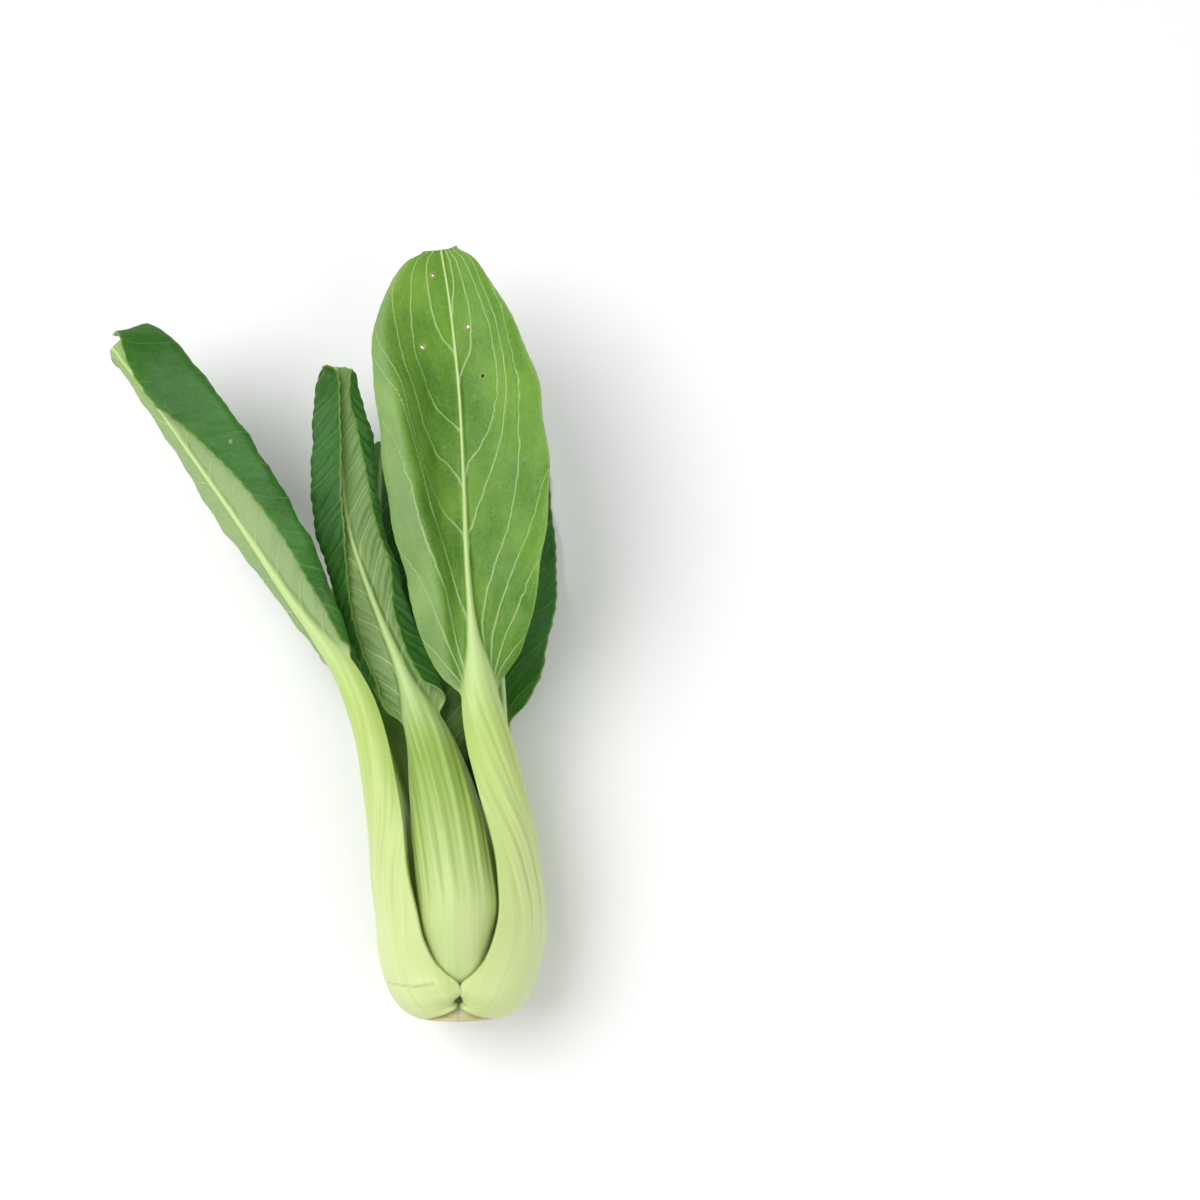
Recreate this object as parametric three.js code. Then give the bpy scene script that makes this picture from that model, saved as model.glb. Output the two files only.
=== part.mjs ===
// A head of bok choy, as cut and laid on a table on its back, in millimetres with +Z up.
// The cut stem is at low Y and the leaf tips point along +Y. Eight leaves grow round a short stem. Each leaf
// is one solid sheet: a thick pale stalk that clasps its neighbours in the bulb, and a thin green blade along
// the stalk's midrib.
import * as THREE from "three";

// Driving dimensions
const BULB_RADIUS = 25;
const STEM_RADIUS = 12;
const BLADE_THICKNESS = 0.75;
const STALK_EDGE = 1.1; // thickness of a stalk's edges
const CUT_LEAN = 0.15; // how far the cut leans back for each millimetre of height
const CUT_REACH = 22; // how far up the bulb the lean fades out

// The bulb's axis runs along Y through this X and Z, and the part rests on its lowest side near this point.
const AXIS_X = -0.5;
const AXIS_Z = 24.5;
const REST_X = -0.4;
const REST_Y = 34;

// How a leaf's sheet is shaped
const FOLD_RADIUS = 1.6; // the tightest a blade folds
const RIPPLE_LENGTH = 21;
const RIPPLE_WIDTH = 10; // a blade this wide ripples fully
const SECOND_RIPPLE = { height: 0.6, pitch: 0.57, start: 1.3 };
const LEANING = [0.5, 1.15]; // over these shares of the stalk, sections turn to face along the leaf
const THINNING = [-0.1, 0.05]; // over these blade shares, the sheet's edge thins to the blade's
const CUT_FULLNESS = 0.35; // near 0, a stalk is as thick at its edges as in its middle
const STALK_FULLNESS = 1.2;
const FULL_BASE = [1, 12]; // distances from the root over which the fullness changes

// How finely it is sampled
const SPINE_STEPS = 240;
const CURL_STEPS = 40;
const FOLD_WEIGHT = 0.35; // extra columns for each radian of a fold
const COLUMNS_AT = 0.45; // the blade share at which the columns are spaced
const ROOT_BEFORE = 10; // rows are close from this far before the blade's start
const ROOT_AFTER = 26;
const CROWDING = 1.35; // above 1, rows crowd towards the root and the tip
const STEM_SIDES = 40;
const ALONG_STEP = 0.2;
const TINY = 0.01;

const ALONG = new THREE.Vector3(0, 1, 0);
const degrees = THREE.MathUtils.degToRad;
const { smoothstep, lerp } = THREE.MathUtils;

// Colours and finish
const LEAF_GREEN = 0x4f8a3a;
const CUT_CREAM = 0xd9d3bd;

// The value at x of a smooth curve through keys, a list of [x, value] that never overshoots them.
function curve(keys, x) {
  const last = keys.length - 1;
  if (x <= keys[0][0]) return keys[0][1];
  if (x >= keys[last][0]) return keys[last][1];
  const i = keys.findIndex((key, k) => k > 0 && x < key[0]) - 1;
  const rise = (k) => (keys[k + 1][1] - keys[k][1]) / (keys[k + 1][0] - keys[k][0]);
  const slope = (k) => {
    if (k === 0 || k === last) return 0;
    const [before, after] = [rise(k - 1), rise(k)];
    return before * after > 0 ? (2 * before * after) / (before + after) : 0;
  };
  const width = keys[i + 1][0] - keys[i][0];
  const t = (x - keys[i][0]) / width;
  const ease = t * t * (3 - 2 * t);
  const bulge = t * (1 - t) * width;
  return lerp(keys[i][1], keys[i + 1][1], ease) + bulge * ((1 - t) * slope(i) - t * slope(i + 1));
}

// A point round the bulb's axis, at an angle from +Z towards +X.
function around(angle, radius, y) {
  const turn = degrees(angle);
  return [AXIS_X + radius * Math.sin(turn), y, AXIS_Z + radius * Math.cos(turn)];
}

// The head is cut a little askew: a point near the cut moves back by its height above the cut's low edge.
function leanCut(p) {
  const height = Math.max(0, p.z - AXIS_Z + STEM_RADIUS);
  p.y -= CUT_LEAN * height * (1 - smoothstep(p.y, 0, CUT_REACH));
  return p;
}

// A leaf's outer centre line: up the bulb at one angle through [radius, y] pairs, then through free points.
function spineOf(angle, rise, free) {
  const points = [...rise.map(([radius, y]) => around(angle, radius, y)), ...free];
  return new THREE.CatmullRomCurve3(
    points.map((p) => new THREE.Vector3(...p)),
    false,
    "centripetal",
  );
}

class Leaf {
  constructor(spec) {
    Object.assign(this, spec);
    this.curve3 = spineOf(spec.angle, spec.rise, spec.free);
    this.curve3.arcLengthDivisions = SPINE_STEPS;
    this.length = this.curve3.getLength();
  }

  // The centre line's point and directions at a distance d from the root: across is to the leaf's right as
  // seen from outside, out is in the plane of the cross-section, and normal is square to the centre line.
  frame(d) {
    const share = THREE.MathUtils.clamp(d / this.length, 0, 1);
    const point = this.curve3.getPointAt(share);
    const tangent = this.curve3.getTangentAt(share);
    const facing = degrees(curve(this.facing, d));
    const face = new THREE.Vector3(Math.sin(facing), 0, Math.cos(facing));
    const lean = smoothstep(d / this.start, ...LEANING);
    const plane = ALONG.clone().lerp(tangent, lean).normalize();
    const across = plane.clone().cross(face).normalize();
    const out = across.clone().cross(plane).normalize();
    const normal = across.clone().cross(tangent).normalize();
    return { point, across, out, normal };
  }

  // How far along the blade a distance d from the root is, 0 where the blade starts and 1 at the tip.
  bladeShare(d) {
    return (d - this.start) / (this.length - this.start);
  }

  // Half-widths of the stalk or midrib, and of the blade beside it.
  widths(d, side) {
    return [curve(this.stalk, d), curve(this[side].blade, this.bladeShare(d))];
  }

  // How far the sheet has turned towards its inner side at an offset from its middle.
  turn(d, side, offset) {
    const [stalk, blade] = this.widths(d, side);
    const x = this.bladeShare(d);
    let total = degrees(curve(this.bend, d)) * Math.min(1, offset / stalk);
    for (const fold of this[side].folds) {
      const middle = curve(fold.at, x) * blade + stalk;
      const reach = (curve(fold.spread, x) * blade) / 2 + TINY;
      const tightest = (2 * reach) / FOLD_RADIUS;
      const turned = THREE.MathUtils.clamp(degrees(curve(fold.turn, x)), -tightest, tightest);
      total += turned * smoothstep(offset, middle - reach, middle + reach);
    }
    return total;
  }

  // A stalk is thickest in its middle, and a blade is as thick all over.
  thickness(d, offset) {
    const middle = curve(this.thick, d);
    const edge = lerp(STALK_EDGE, BLADE_THICKNESS, smoothstep(this.bladeShare(d), ...THINNING));
    const x = Math.min(1, offset / curve(this.stalk, d));
    const fullness = lerp(CUT_FULLNESS, STALK_FULLNESS, smoothstep(d, ...FULL_BASE));
    return edge + Math.max(0, middle - edge) * Math.pow(1 - x * x, fullness);
  }

  // The sheet's inner face at a distance d and an offset from its middle, as steps across it and inwards.
  section(d, side, offset) {
    let [sideways, inward] = [0, 0];
    for (let k = 0; k < CURL_STEPS; k++) {
      const turned = this.turn(d, side, (offset * (k + 0.5)) / CURL_STEPS);
      sideways += (Math.cos(turned) * offset) / CURL_STEPS;
      inward += (Math.sin(turned) * offset) / CURL_STEPS;
    }
    return [sideways, inward];
  }

  // A point of the sheet's inner face, at a share a of the way from the middle to a margin.
  inner(d, side, a) {
    const { point, across, out, normal } = this.frame(d);
    const [stalk, blade] = this.widths(d, side);
    const offset = a * (stalk + blade);
    const [sideways, inward] = this.section(d, side, offset);
    const turned = this.turn(d, side, offset);
    const hand = side === "right" ? 1 : -1;
    const rippled = Math.max(0, offset - stalk) / (blade + TINY);
    const wave = this.ripple * rippled ** 2 * Math.min(1, blade / RIPPLE_WIDTH) * this.waves(d, hand);
    return point
      .addScaledVector(normal, -curve(this.thick, d))
      .addScaledVector(across, hand * (sideways + wave * Math.sin(turned)))
      .addScaledVector(out, wave * Math.cos(turned) - inward);
  }

  // Two waves of different lengths, so that no two ripples of a margin are the same.
  waves(d, hand) {
    const { height, pitch, start } = SECOND_RIPPLE;
    const phase = (Math.PI * 2 * d) / RIPPLE_LENGTH + this.angle * hand;
    return Math.sin(phase) + height * Math.sin(phase * pitch + start);
  }

  // The inner face's point and the outer face's, a thickness away along the sheet's own normal.
  pair(d, side, a) {
    const hand = side === "right" ? 1 : -1;
    const here = this.inner(d, side, a);
    const step = a > TINY ? TINY : -TINY;
    const sideways = here.clone().sub(this.inner(d, side, a - step)).multiplyScalar(hand * Math.sign(step));
    const ahead = d < this.length - 1 ? 1 : -1;
    const along = this.inner(d + ahead * ALONG_STEP, side, a).sub(here).multiplyScalar(ahead);
    const normal = sideways.cross(along).normalize();
    const [stalk, blade] = this.widths(d, side);
    const outer = here.clone().addScaledVector(normal, this.thickness(d, a * (stalk + blade)));
    outer.z = Math.max(outer.z, 0);
    return [here, outer];
  }

  // Shares of a half's width for its columns, closest together where the sheet folds.
  columns(side) {
    const d = lerp(this.start, this.length, COLUMNS_AT);
    const [stalk, blade] = this.widths(d, side);
    const turned = (k) => this.turn(d, side, ((stalk + blade) * k) / CURL_STEPS);
    const weight = [0];
    for (let k = 1; k <= CURL_STEPS; k++) {
      weight.push(weight[k - 1] + 1 / CURL_STEPS + Math.abs(turned(k) - turned(k - 1)) * FOLD_WEIGHT);
    }
    const shares = [];
    for (let column = 1; column <= this.cells; column++) {
      const aim = (weight[CURL_STEPS] * column) / this.cells;
      const k = Math.max(1, weight.findIndex((w) => w >= aim - TINY * TINY));
      shares.push((k - 1 + (aim - weight[k - 1]) / (weight[k] - weight[k - 1])) / CURL_STEPS);
    }
    return shares;
  }

  // Distances of the rows from the root: even up the stalk, close where the blade starts and towards the tip.
  rowDistances() {
    const [stalkRows, rootRows, bladeRows] = this.rows;
    const [low, high] = [this.start - ROOT_BEFORE, this.start + ROOT_AFTER];
    const distances = [];
    for (let k = 0; k < stalkRows; k++) distances.push(low * (k / stalkRows) ** CROWDING);
    for (let k = 0; k < rootRows; k++) distances.push(lerp(low, high, k / rootRows));
    for (let k = 0; k <= bladeRows; k++) {
      distances.push(lerp(high, this.length, 1 - (1 - k / bladeRows) ** CROWDING));
    }
    return distances;
  }

  geometry() {
    const columns = [
      ...this.columns("left").reverse().map((a) => ["left", a]),
      ["right", 0],
      ...this.columns("right").map((a) => ["right", a]),
    ];
    const distances = this.rowDistances();
    const [innerFace, outerFace] = [[], []];
    for (const d of distances) {
      for (const [side, a] of columns) {
        const [inner, outer] = this.pair(d, side, a);
        innerFace.push(inner);
        outerFace.push(outer);
      }
    }
    return closedSheet(innerFace, outerFace, distances.length, columns.length);
  }
}

// A closed solid between two like grids of points, with both faces split into the same triangles.
function closedSheet(innerFace, outerFace, rows, columns) {
  const points = [...innerFace, ...outerFace].map(leanCut);
  const index = [];
  const inner = (row, column) => row * columns + column;
  const outer = (row, column) => innerFace.length + inner(row, column);
  const quad = (a, b, c, d) => index.push(a, b, c, a, c, d);
  for (let row = 0; row < rows - 1; row++) {
    for (let column = 0; column < columns - 1; column++) {
      quad(outer(row, column), outer(row, column + 1), outer(row + 1, column + 1), outer(row + 1, column));
      index.push(inner(row, column), inner(row + 1, column + 1), inner(row, column + 1));
      index.push(inner(row, column), inner(row + 1, column), inner(row + 1, column + 1));
    }
    const end = columns - 1;
    quad(inner(row, 0), outer(row, 0), outer(row + 1, 0), inner(row + 1, 0));
    quad(outer(row, end), inner(row, end), inner(row + 1, end), outer(row + 1, end));
  }
  for (let column = 0; column < columns - 1; column++) {
    const end = rows - 1;
    quad(inner(0, column), inner(0, column + 1), outer(0, column + 1), outer(0, column));
    quad(outer(end, column), outer(end, column + 1), inner(end, column + 1), inner(end, column));
  }
  const geometry = new THREE.BufferGeometry().setFromPoints(points);
  geometry.setIndex(index);
  geometry.computeVertexNormals();
  return geometry;
}

// The short stem that the leaves grow from: a cut face at low Y and a cone up into the heart.
function stemGeometry() {
  const profile = [
    [0, 0],
    [STEM_RADIUS - 0.6, 0],
    [STEM_RADIUS, 0.6],
    [STEM_RADIUS - 1.6, 3],
    [STEM_RADIUS - 3.4, 7],
    [STEM_RADIUS - 4.6, 10.5],
    [STEM_RADIUS - 6, 15],
    [STEM_RADIUS - 8.4, 19], [0, 21],
  ];
  const outline = profile.map(([r, y]) => new THREE.Vector2(r, y));
  const geometry = new THREE.LatheGeometry(outline, STEM_SIDES);
  geometry.translate(AXIS_X, 0, AXIS_Z);
  const position = geometry.getAttribute("position");
  for (let i = 0; i < position.count; i++) {
    const p = leanCut(new THREE.Vector3().fromBufferAttribute(position, i));
    position.setXYZ(i, p.x, p.y, p.z);
  }
  geometry.computeVertexNormals();
  return geometry;
}

// [radius, y] up the bulb of the outer leaves' outer faces
const OUTER_RISE = [
  [STEM_RADIUS + 0.5, 0.3],
  [16.2, 2.2],
  [19.7, 5.8],
  [22.5, 11.4],
  [24.2, 18.4],
  [BULB_RADIUS, 27],
];

// Each leaf, with lengths in millimetres and angles in degrees. Pairs are keys of a curve: those of facing,
// stalk, thick and bend are along the distance from the root, those of blade and folds along the blade.
// angle is the leaf's place round the bulb, from +Z towards +X. rise and free shape its outer centre line.
// facing is where its outer face looks, start is where the blade begins, stalk is the half-width of the stalk
// and midrib, thick their thickness, bend how far each half curls inwards, ripple the margin waves' height.
// A fold lies at a share of the half blade's width, is spread over a share of it and turns the sheet inwards.
// rows and cells set how finely the sheet is divided.
const LEAVES = [
  {
    name: "leaf_front_right",
    angle: 80,
    rise: OUTER_RISE,
    free: [
      [23, 38, 31.5],
      [20.2, 52, 36.5],
      [15.8, 65, 42],
      [11, 78, 46.5],
      [7.2, 89, 49.5],
      [4, 104, 51.5],
      [1.6, 127, 52.5],
      [0.4, 150, 52],
      [-1.4, 180, 50.5],
      [-4.5, 207, 47.5],
      [-7.5, 225, 44],
    ],
    facing: [[0, 80], [45, 76], [72, 50], [91, 30], [112, 10], [238, 0]],
    start: 100,
    stalk: [[0, 14.3], [5, 17.15], [8, 20], [10.5, 20.5], [14, 18.4], [18, 17], [25, 16], [40, 13.8],
      [56, 11.2], [72, 9], [84, 7.8], [96, 6.2], [108, 4.3], [118, 2.6], [130, 1.8], [180, 1], [238, 0.6]],
    thick: [[0, 5.5], [40, 5.5], [70, 5], [98, 4.2], [118, 2.8], [160, 1.8], [238, 0.9]],
    bend: [[0, 74], [5, 80], [8, 81], [10, 81], [14, 69], [18, 55], [25, 44], [40, 40], [60, 42], [90, 44],
      [112, 12], [130, -8], [238, -8]],
    ripple: 0.5,
    left: {
      blade: [[0, 0], [0.05, 6], [0.1, 11], [0.17, 15.5], [0.27, 20.3], [0.4, 25], [0.61, 27.5],
        [0.73, 26], [0.85, 21.5], [0.93, 15.8], [0.98, 10], [1, 5]],
      folds: [
        {
          at: [[0, 0.15], [1, 0.35]],
          spread: [[0, 0.25]],
          turn: [[0, -30], [0.2, -42], [0.6, -40], [0.85, -10], [1, 0]],
        },
        {
          at: [[0, 0.45], [0.25, 0.5], [0.5, 0.7], [1, 0.88]],
          spread: [[0, 0.2], [0.15, 0.12], [0.6, 0.14], [0.85, 0.2]],
          turn: [[0, 60], [0.2, 88], [0.6, 75], [0.9, 20], [1, 0]],
        },
      ],
    },
    right: {
      blade: [[0, 0], [0.04, 5], [0.08, 10], [0.15, 15.5], [0.25, 20.6], [0.34, 23.6], [0.48, 25.8],
        [0.62, 25], [0.72, 22], [0.83, 17.2], [0.91, 12.3], [0.965, 8.4], [1, 4.5]],
      folds: [{ at: [[0, 0.5]], spread: [[0, 0.9]], turn: [[0, 0], [0.12, -28], [1, -30]] }],
    },
    rows: [10, 9, 10],
    cells: 10,
  },
  {
    name: "leaf_front_left",
    angle: -80,
    rise: OUTER_RISE,
    free: [
      [-26.6, 38, 29],
      [-27.2, 50, 32],
      [-28.4, 63, 35.5],
      [-30.5, 78, 38.5],
      [-33.5, 89, 40.5],
      [-37.5, 98.5, 41.5],
      [-43.5, 108, 42],
      [-52, 120, 42.5],
      [-66, 141, 42],
      [-80, 161, 40],
      [-94, 181, 37.5],
      [-106.5, 197.5, 34],
    ],
    facing: [[0, -80], [45, -79], [70, -62], [100, -45], [130, -36], [236, -30]],
    start: 106,
    stalk: [[0, 14.3], [5, 17.35], [8, 21.4], [10.5, 21.9], [14, 19.4], [18, 17.4], [25, 16], [40, 13.4],
      [56, 9.8], [72, 7], [84, 5.8], [96, 5], [108, 3.8], [124, 2.2], [180, 0.9], [236, 0.6]],
    thick: [[0, 5.5], [40, 5.5], [70, 5], [98, 4.2], [118, 2.8], [160, 1.8], [236, 0.9]],
    bend: [[0, 74], [5, 80], [8, 85], [10, 83], [14, 71], [18, 58], [25, 45], [40, 38], [60, 42], [90, 44],
      [112, 18], [236, 6]],
    ripple: 0.5,
    left: {
      blade: [[0, 0], [0.05, 8], [0.15, 17], [0.3, 23], [0.5, 26], [0.75, 22], [0.9, 14], [0.98, 6],
        [1, 0.4]],
      folds: [
        {
          at: [[0, 0.12], [0.2, 0.14], [0.45, 0.2], [0.7, 0.12]],
          spread: [[0, 0.24]],
          turn: [[0, 20], [0.15, 78], [1, 70]],
        },
      ],
    },
    right: {
      blade: [[0, 0], [0.05, 8], [0.14, 14.5], [0.3, 22], [0.5, 27.5], [0.6, 30], [0.7, 33.5],
        [0.8, 35.5], [0.9, 33], [0.97, 26], [1, 14]],
      folds: [
        {
          at: [[0, 0.55], [0.14, 0.65], [0.3, 0.66], [0.5, 0.625], [0.6, 0.59], [0.7, 0.545], [0.8, 0.5]],
          spread: [[0, 0.6], [0.12, 0.5], [0.3, 0.32], [0.8, 0.24]],
          turn: [[0, -150], [0.2, -168], [0.8, -172], [1, -120]],
        },
      ],
    },
    rows: [10, 9, 10],
    cells: 10,
  },
  {
    name: "leaf_front_middle",
    angle: -2,
    rise: [[10.8, 7.4], [13.7, 9.6], [16.6, 14], [20, 21.6], [22, 31]],
    free: [
      [-3.2, 45, 45.6],
      [-6, 60, 44],
      [-10, 75, 41.5],
      [-14.5, 88, 39],
      [-19.2, 101, 37.5],
      [-25, 115, 36.5],
      [-30, 128, 36],
      [-34.5, 142, 36],
      [-37, 160, 37],
      [-38.5, 178, 37.5],
      [-39, 191, 36],
    ],
    facing: [[0, -2], [60, -6], [80, -12], [110, -10], [210, -4]],
    start: 82,
    stalk: [[0, 8.6], [8, 10.6], [14, 12], [24, 13.2], [45, 12.6], [60, 10.4], [75, 7.2], [86, 4.8],
      [93, 3.2], [104, 2], [122, 1.2], [150, 0.9], [210, 0.6]],
    thick: [[0, 4.5], [20, 5.3], [45, 5.3], [70, 4.4], [88, 3.3], [104, 2.3], [122, 1.8], [150, 1.4],
      [210, 0.9]],
    bend: [[0, 55], [24, 56], [50, 56], [75, 48], [95, 14], [210, 4]],
    ripple: 0.3,
    left: {
      blade: [[0, 0], [0.08, 8], [0.2, 14.5], [0.35, 15.5], [0.46, 17.5], [0.56, 21], [0.8, 19],
        [0.93, 15], [0.985, 10], [1, 2]],
      folds: [
        {
          at: [[0, 0.65], [0.2, 0.72], [0.35, 0.66], [0.46, 0.55], [0.56, 0.48], [1, 0.42]],
          spread: [[0, 0.4]],
          turn: [[0, -150], [0.2, -175], [1, -176]],
        },
      ],
    },
    right: {
      blade: [[0, 0], [0.05, 8], [0.13, 15], [0.29, 14], [0.44, 12], [0.6, 13], [0.78, 15], [0.9, 12.5],
        [0.975, 9], [1, 2]],
      folds: [
        {
          at: [[0, 0.5], [0.13, 0.5], [0.29, 0.59], [0.44, 0.78], [0.6, 0.76], [0.78, 0.68], [1, 0.6]],
          spread: [[0, 0.36]],
          turn: [[0, -150], [0.2, -168], [1, -172]],
        },
      ],
    },
    rows: [7, 8, 10],
    cells: 10,
  },
  {
    name: "leaf_back_right",
    angle: 176,
    rise: [[10.8, 7.2], [14.3, 9.3], [18.7, 13.8], [23.1, 20.9], [25.2, 28.4]],
    free: [
      [1.5, 42, -0.9],
      [3.5, 58, 0.6],
      [5, 75, 2.4],
      [5.5, 92, 4.6],
      [4.5, 110, 6.6],
      [3, 135, 8],
      [1, 160, 8.2],
      [-1.5, 185, 7.6],
      [-4, 206, 6.6],
    ],
    facing: [[0, 176], [60, 178], [110, 183], [215, 186]],
    start: 86,
    stalk: [[0, 8.6], [8, 10.6], [20, 14], [32, 15], [45, 15], [60, 12.5], [75, 9.5], [90, 6.5],
      [104, 4], [140, 2], [215, 0.8]],
    thick: [[0, 4.5], [20, 5.4], [40, 5.4], [70, 4.6], [92, 3.4], [110, 2.4], [150, 1.5], [215, 0.9]],
    bend: [[0, 55], [26, 60], [50, 58], [75, 46], [95, 8], [215, -4]],
    ripple: 0.4,
    left: {
      blade: [[0, 0], [0.06, 7], [0.16, 15], [0.4, 23], [0.6, 24], [0.8, 20], [0.93, 12], [0.98, 6.5],
        [1, 0.4]],
      folds: [{ at: [[0, 0.5]], spread: [[0, 1]], turn: [[0, 0], [0.2, -34], [1, -30]] }],
    },
    right: {
      blade: [[0, 0], [0.06, 8], [0.16, 15], [0.4, 20.5], [0.6, 21], [0.8, 18], [0.93, 11.5],
        [0.98, 6.5], [1, 0.4]],
      folds: [{ at: [[0, 0.5]], spread: [[0, 1]], turn: [[0, 0], [0.2, -34], [1, -30]] }],
    },
    rows: [7, 6, 8],
    cells: 7,
  },
  {
    name: "leaf_back_left",
    angle: -122,
    rise: [[9.4, 12], [12, 14.2], [14.1, 19], [15.8, 25.6], [16.6, 34]],
    free: [
      [-17, 50, 16.6],
      [-19.5, 66, 16],
      [-22.5, 82, 14.4],
      [-24.5, 98, 14.2],
      [-25.5, 115, 11.6],
      [-26.5, 135, 9.2],
      [-27, 155, 8.2],
      [-26.5, 175, 8],
    ],
    facing: [[0, -122], [45, -118], [75, -142], [100, -182], [130, -202], [200, -206]],
    start: 74,
    stalk: [[0, 6.4], [10, 8.4], [24, 9.2], [45, 7.6], [60, 6.8], [75, 5.6], [90, 3.6], [120, 2],
      [185, 0.8]],
    thick: [[0, 3], [20, 3.4], [45, 3.4], [70, 3], [90, 2.2], [130, 1.5], [185, 0.9]],
    bend: [[0, 54], [45, 54], [70, 36], [90, 4], [185, -4]],
    ripple: 0.4,
    left: {
      blade: [[0, 0], [0.08, 7], [0.2, 13], [0.45, 19], [0.7, 18], [0.9, 11], [0.98, 5], [1, 0.4]],
      folds: [{ at: [[0, 0.5]], spread: [[0, 1]], turn: [[0, 0], [0.2, -30], [1, -28]] }],
    },
    right: {
      blade: [[0, 0], [0.08, 6], [0.2, 11], [0.45, 16], [0.7, 15], [0.9, 9], [0.98, 4.5], [1, 0.4]],
      folds: [{ at: [[0, 0.5]], spread: [[0, 1]], turn: [[0, 0], [0.2, -22], [1, -20]] }],
    },
    rows: [6, 6, 8],
    cells: 6,
  },
  {
    name: "leaf_heart_right",
    angle: 98,
    rise: [[9.4, 13.5], [12, 15.4], [14.6, 20], [16.2, 27], [16.4, 35]],
    free: [
      [14.2, 48, 22],
      [13.4, 62, 22.5],
      [13, 78, 24],
      [12, 95, 26],
      [10, 115, 29],
      [7.5, 135, 31],
      [5, 153, 32],
    ],
    facing: [[0, 98], [60, 92], [90, 75], [120, 45], [160, 25]],
    start: 44,
    stalk: [[0, 7.4], [10, 9], [24, 9.4], [40, 8], [55, 5], [75, 3], [120, 1.6], [165, 0.8]],
    thick: [[0, 2.8], [12, 3.2], [30, 3.2], [50, 2.6], [75, 1.8], [110, 1.3], [165, 0.9]],
    bend: [[0, 56], [40, 58], [60, 40], [100, 20], [165, 8]],
    ripple: 0.3,
    left: {
      blade: [[0, 0], [0.12, 4], [0.3, 9], [0.55, 13], [0.8, 11], [0.95, 5], [1, 0.4]],
      folds: [{ at: [[0, 0.5]], spread: [[0, 1]], turn: [[0, 20], [0.4, 50], [1, 30]] }],
    },
    right: {
      blade: [[0, 0], [0.12, 4], [0.3, 8], [0.55, 11], [0.8, 10], [0.95, 5], [1, 0.4]],
      folds: [{ at: [[0, 0.5]], spread: [[0, 1]], turn: [[0, 20], [0.4, 45], [1, 30]] }],
    },
    rows: [5, 5, 8],
    cells: 6,
  },
  {
    name: "leaf_heart_left",
    angle: -56,
    rise: [[7.8, 15.8], [9.4, 18], [11, 22.5], [11.8, 29], [12, 36]],
    free: [
      [-11, 50, 29.5],
      [-10.5, 64, 28.5],
      [-10, 80, 27.5],
      [-10, 96, 27],
      [-10.5, 114, 27],
      [-11, 130, 27],
    ],
    facing: [[0, -56], [60, -50], [90, -42], [140, -30]],
    start: 36,
    stalk: [[0, 6], [10, 6.8], [24, 7], [36, 6], [50, 3.6], [75, 2.2], [130, 0.8]],
    thick: [[0, 2.2], [12, 2.6], [30, 2.6], [50, 2], [75, 1.5], [130, 0.9]],
    bend: [[0, 54], [36, 56], [55, 40], [90, 20], [130, 8]],
    ripple: 0.3,
    left: {
      blade: [[0, 0], [0.12, 4], [0.3, 8], [0.55, 11], [0.8, 9], [0.95, 4], [1, 0.4]],
      folds: [{ at: [[0, 0.5]], spread: [[0, 1]], turn: [[0, 20], [0.4, 60], [1, 40]] }],
    },
    right: {
      blade: [[0, 0], [0.12, 4], [0.3, 8], [0.55, 10], [0.8, 8], [0.95, 4], [1, 0.4]],
      folds: [{ at: [[0, 0.5]], spread: [[0, 1]], turn: [[0, 20], [0.4, 60], [1, 40]] }],
    },
    rows: [4, 5, 7],
    cells: 6,
  },
  {
    name: "leaf_heart_back",
    angle: 178,
    rise: [[4.9, 19], [6.6, 21.5], [8, 26], [8.4, 32]],
    free: [
      [-0.6, 44, 15.6],
      [-0.2, 58, 14.8],
      [0.2, 74, 14.8],
      [0.4, 90, 15.5],
      [0.2, 104, 17],
    ],
    facing: [[0, 178], [110, 182]],
    start: 30,
    stalk: [[0, 3.8], [20, 4.6], [32, 4], [45, 2.4], [95, 0.8]],
    thick: [[0, 1.8], [28, 2], [45, 1.6], [95, 0.9]],
    bend: [[0, 50], [34, 52], [50, 36], [95, 16]],
    ripple: 0.2,
    left: {
      blade: [[0, 0], [0.2, 3], [0.5, 6], [0.8, 5], [1, 0.4]],
      folds: [{ at: [[0, 0.5]], spread: [[0, 1]], turn: [[0, 10], [0.4, 40], [1, 30]] }],
    },
    right: {
      blade: [[0, 0], [0.2, 3], [0.5, 6], [0.8, 5], [1, 0.4]],
      folds: [{ at: [[0, 0.5]], spread: [[0, 1]], turn: [[0, 10], [0.4, 40], [1, 30]] }],
    },
    rows: [4, 4, 6],
    cells: 5,
  },
];

const head = new THREE.Group();
head.position.set(-REST_X, -REST_Y, 0);

const stem = new THREE.Mesh(
  stemGeometry(),
  new THREE.MeshStandardMaterial({ color: CUT_CREAM, roughness: 0.7, metalness: 0 }),
);
stem.name = "stem";
head.add(stem);

for (const spec of LEAVES) {
  const leaf = new THREE.Mesh(
    new Leaf(spec).geometry(),
    new THREE.MeshStandardMaterial({ color: LEAF_GREEN, roughness: 0.5, metalness: 0 }),
  );
  leaf.name = spec.name;
  head.add(leaf);
}

export default head;
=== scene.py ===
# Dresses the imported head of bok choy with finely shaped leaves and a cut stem, on a floor in soft light.
import math
from types import SimpleNamespace

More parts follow.
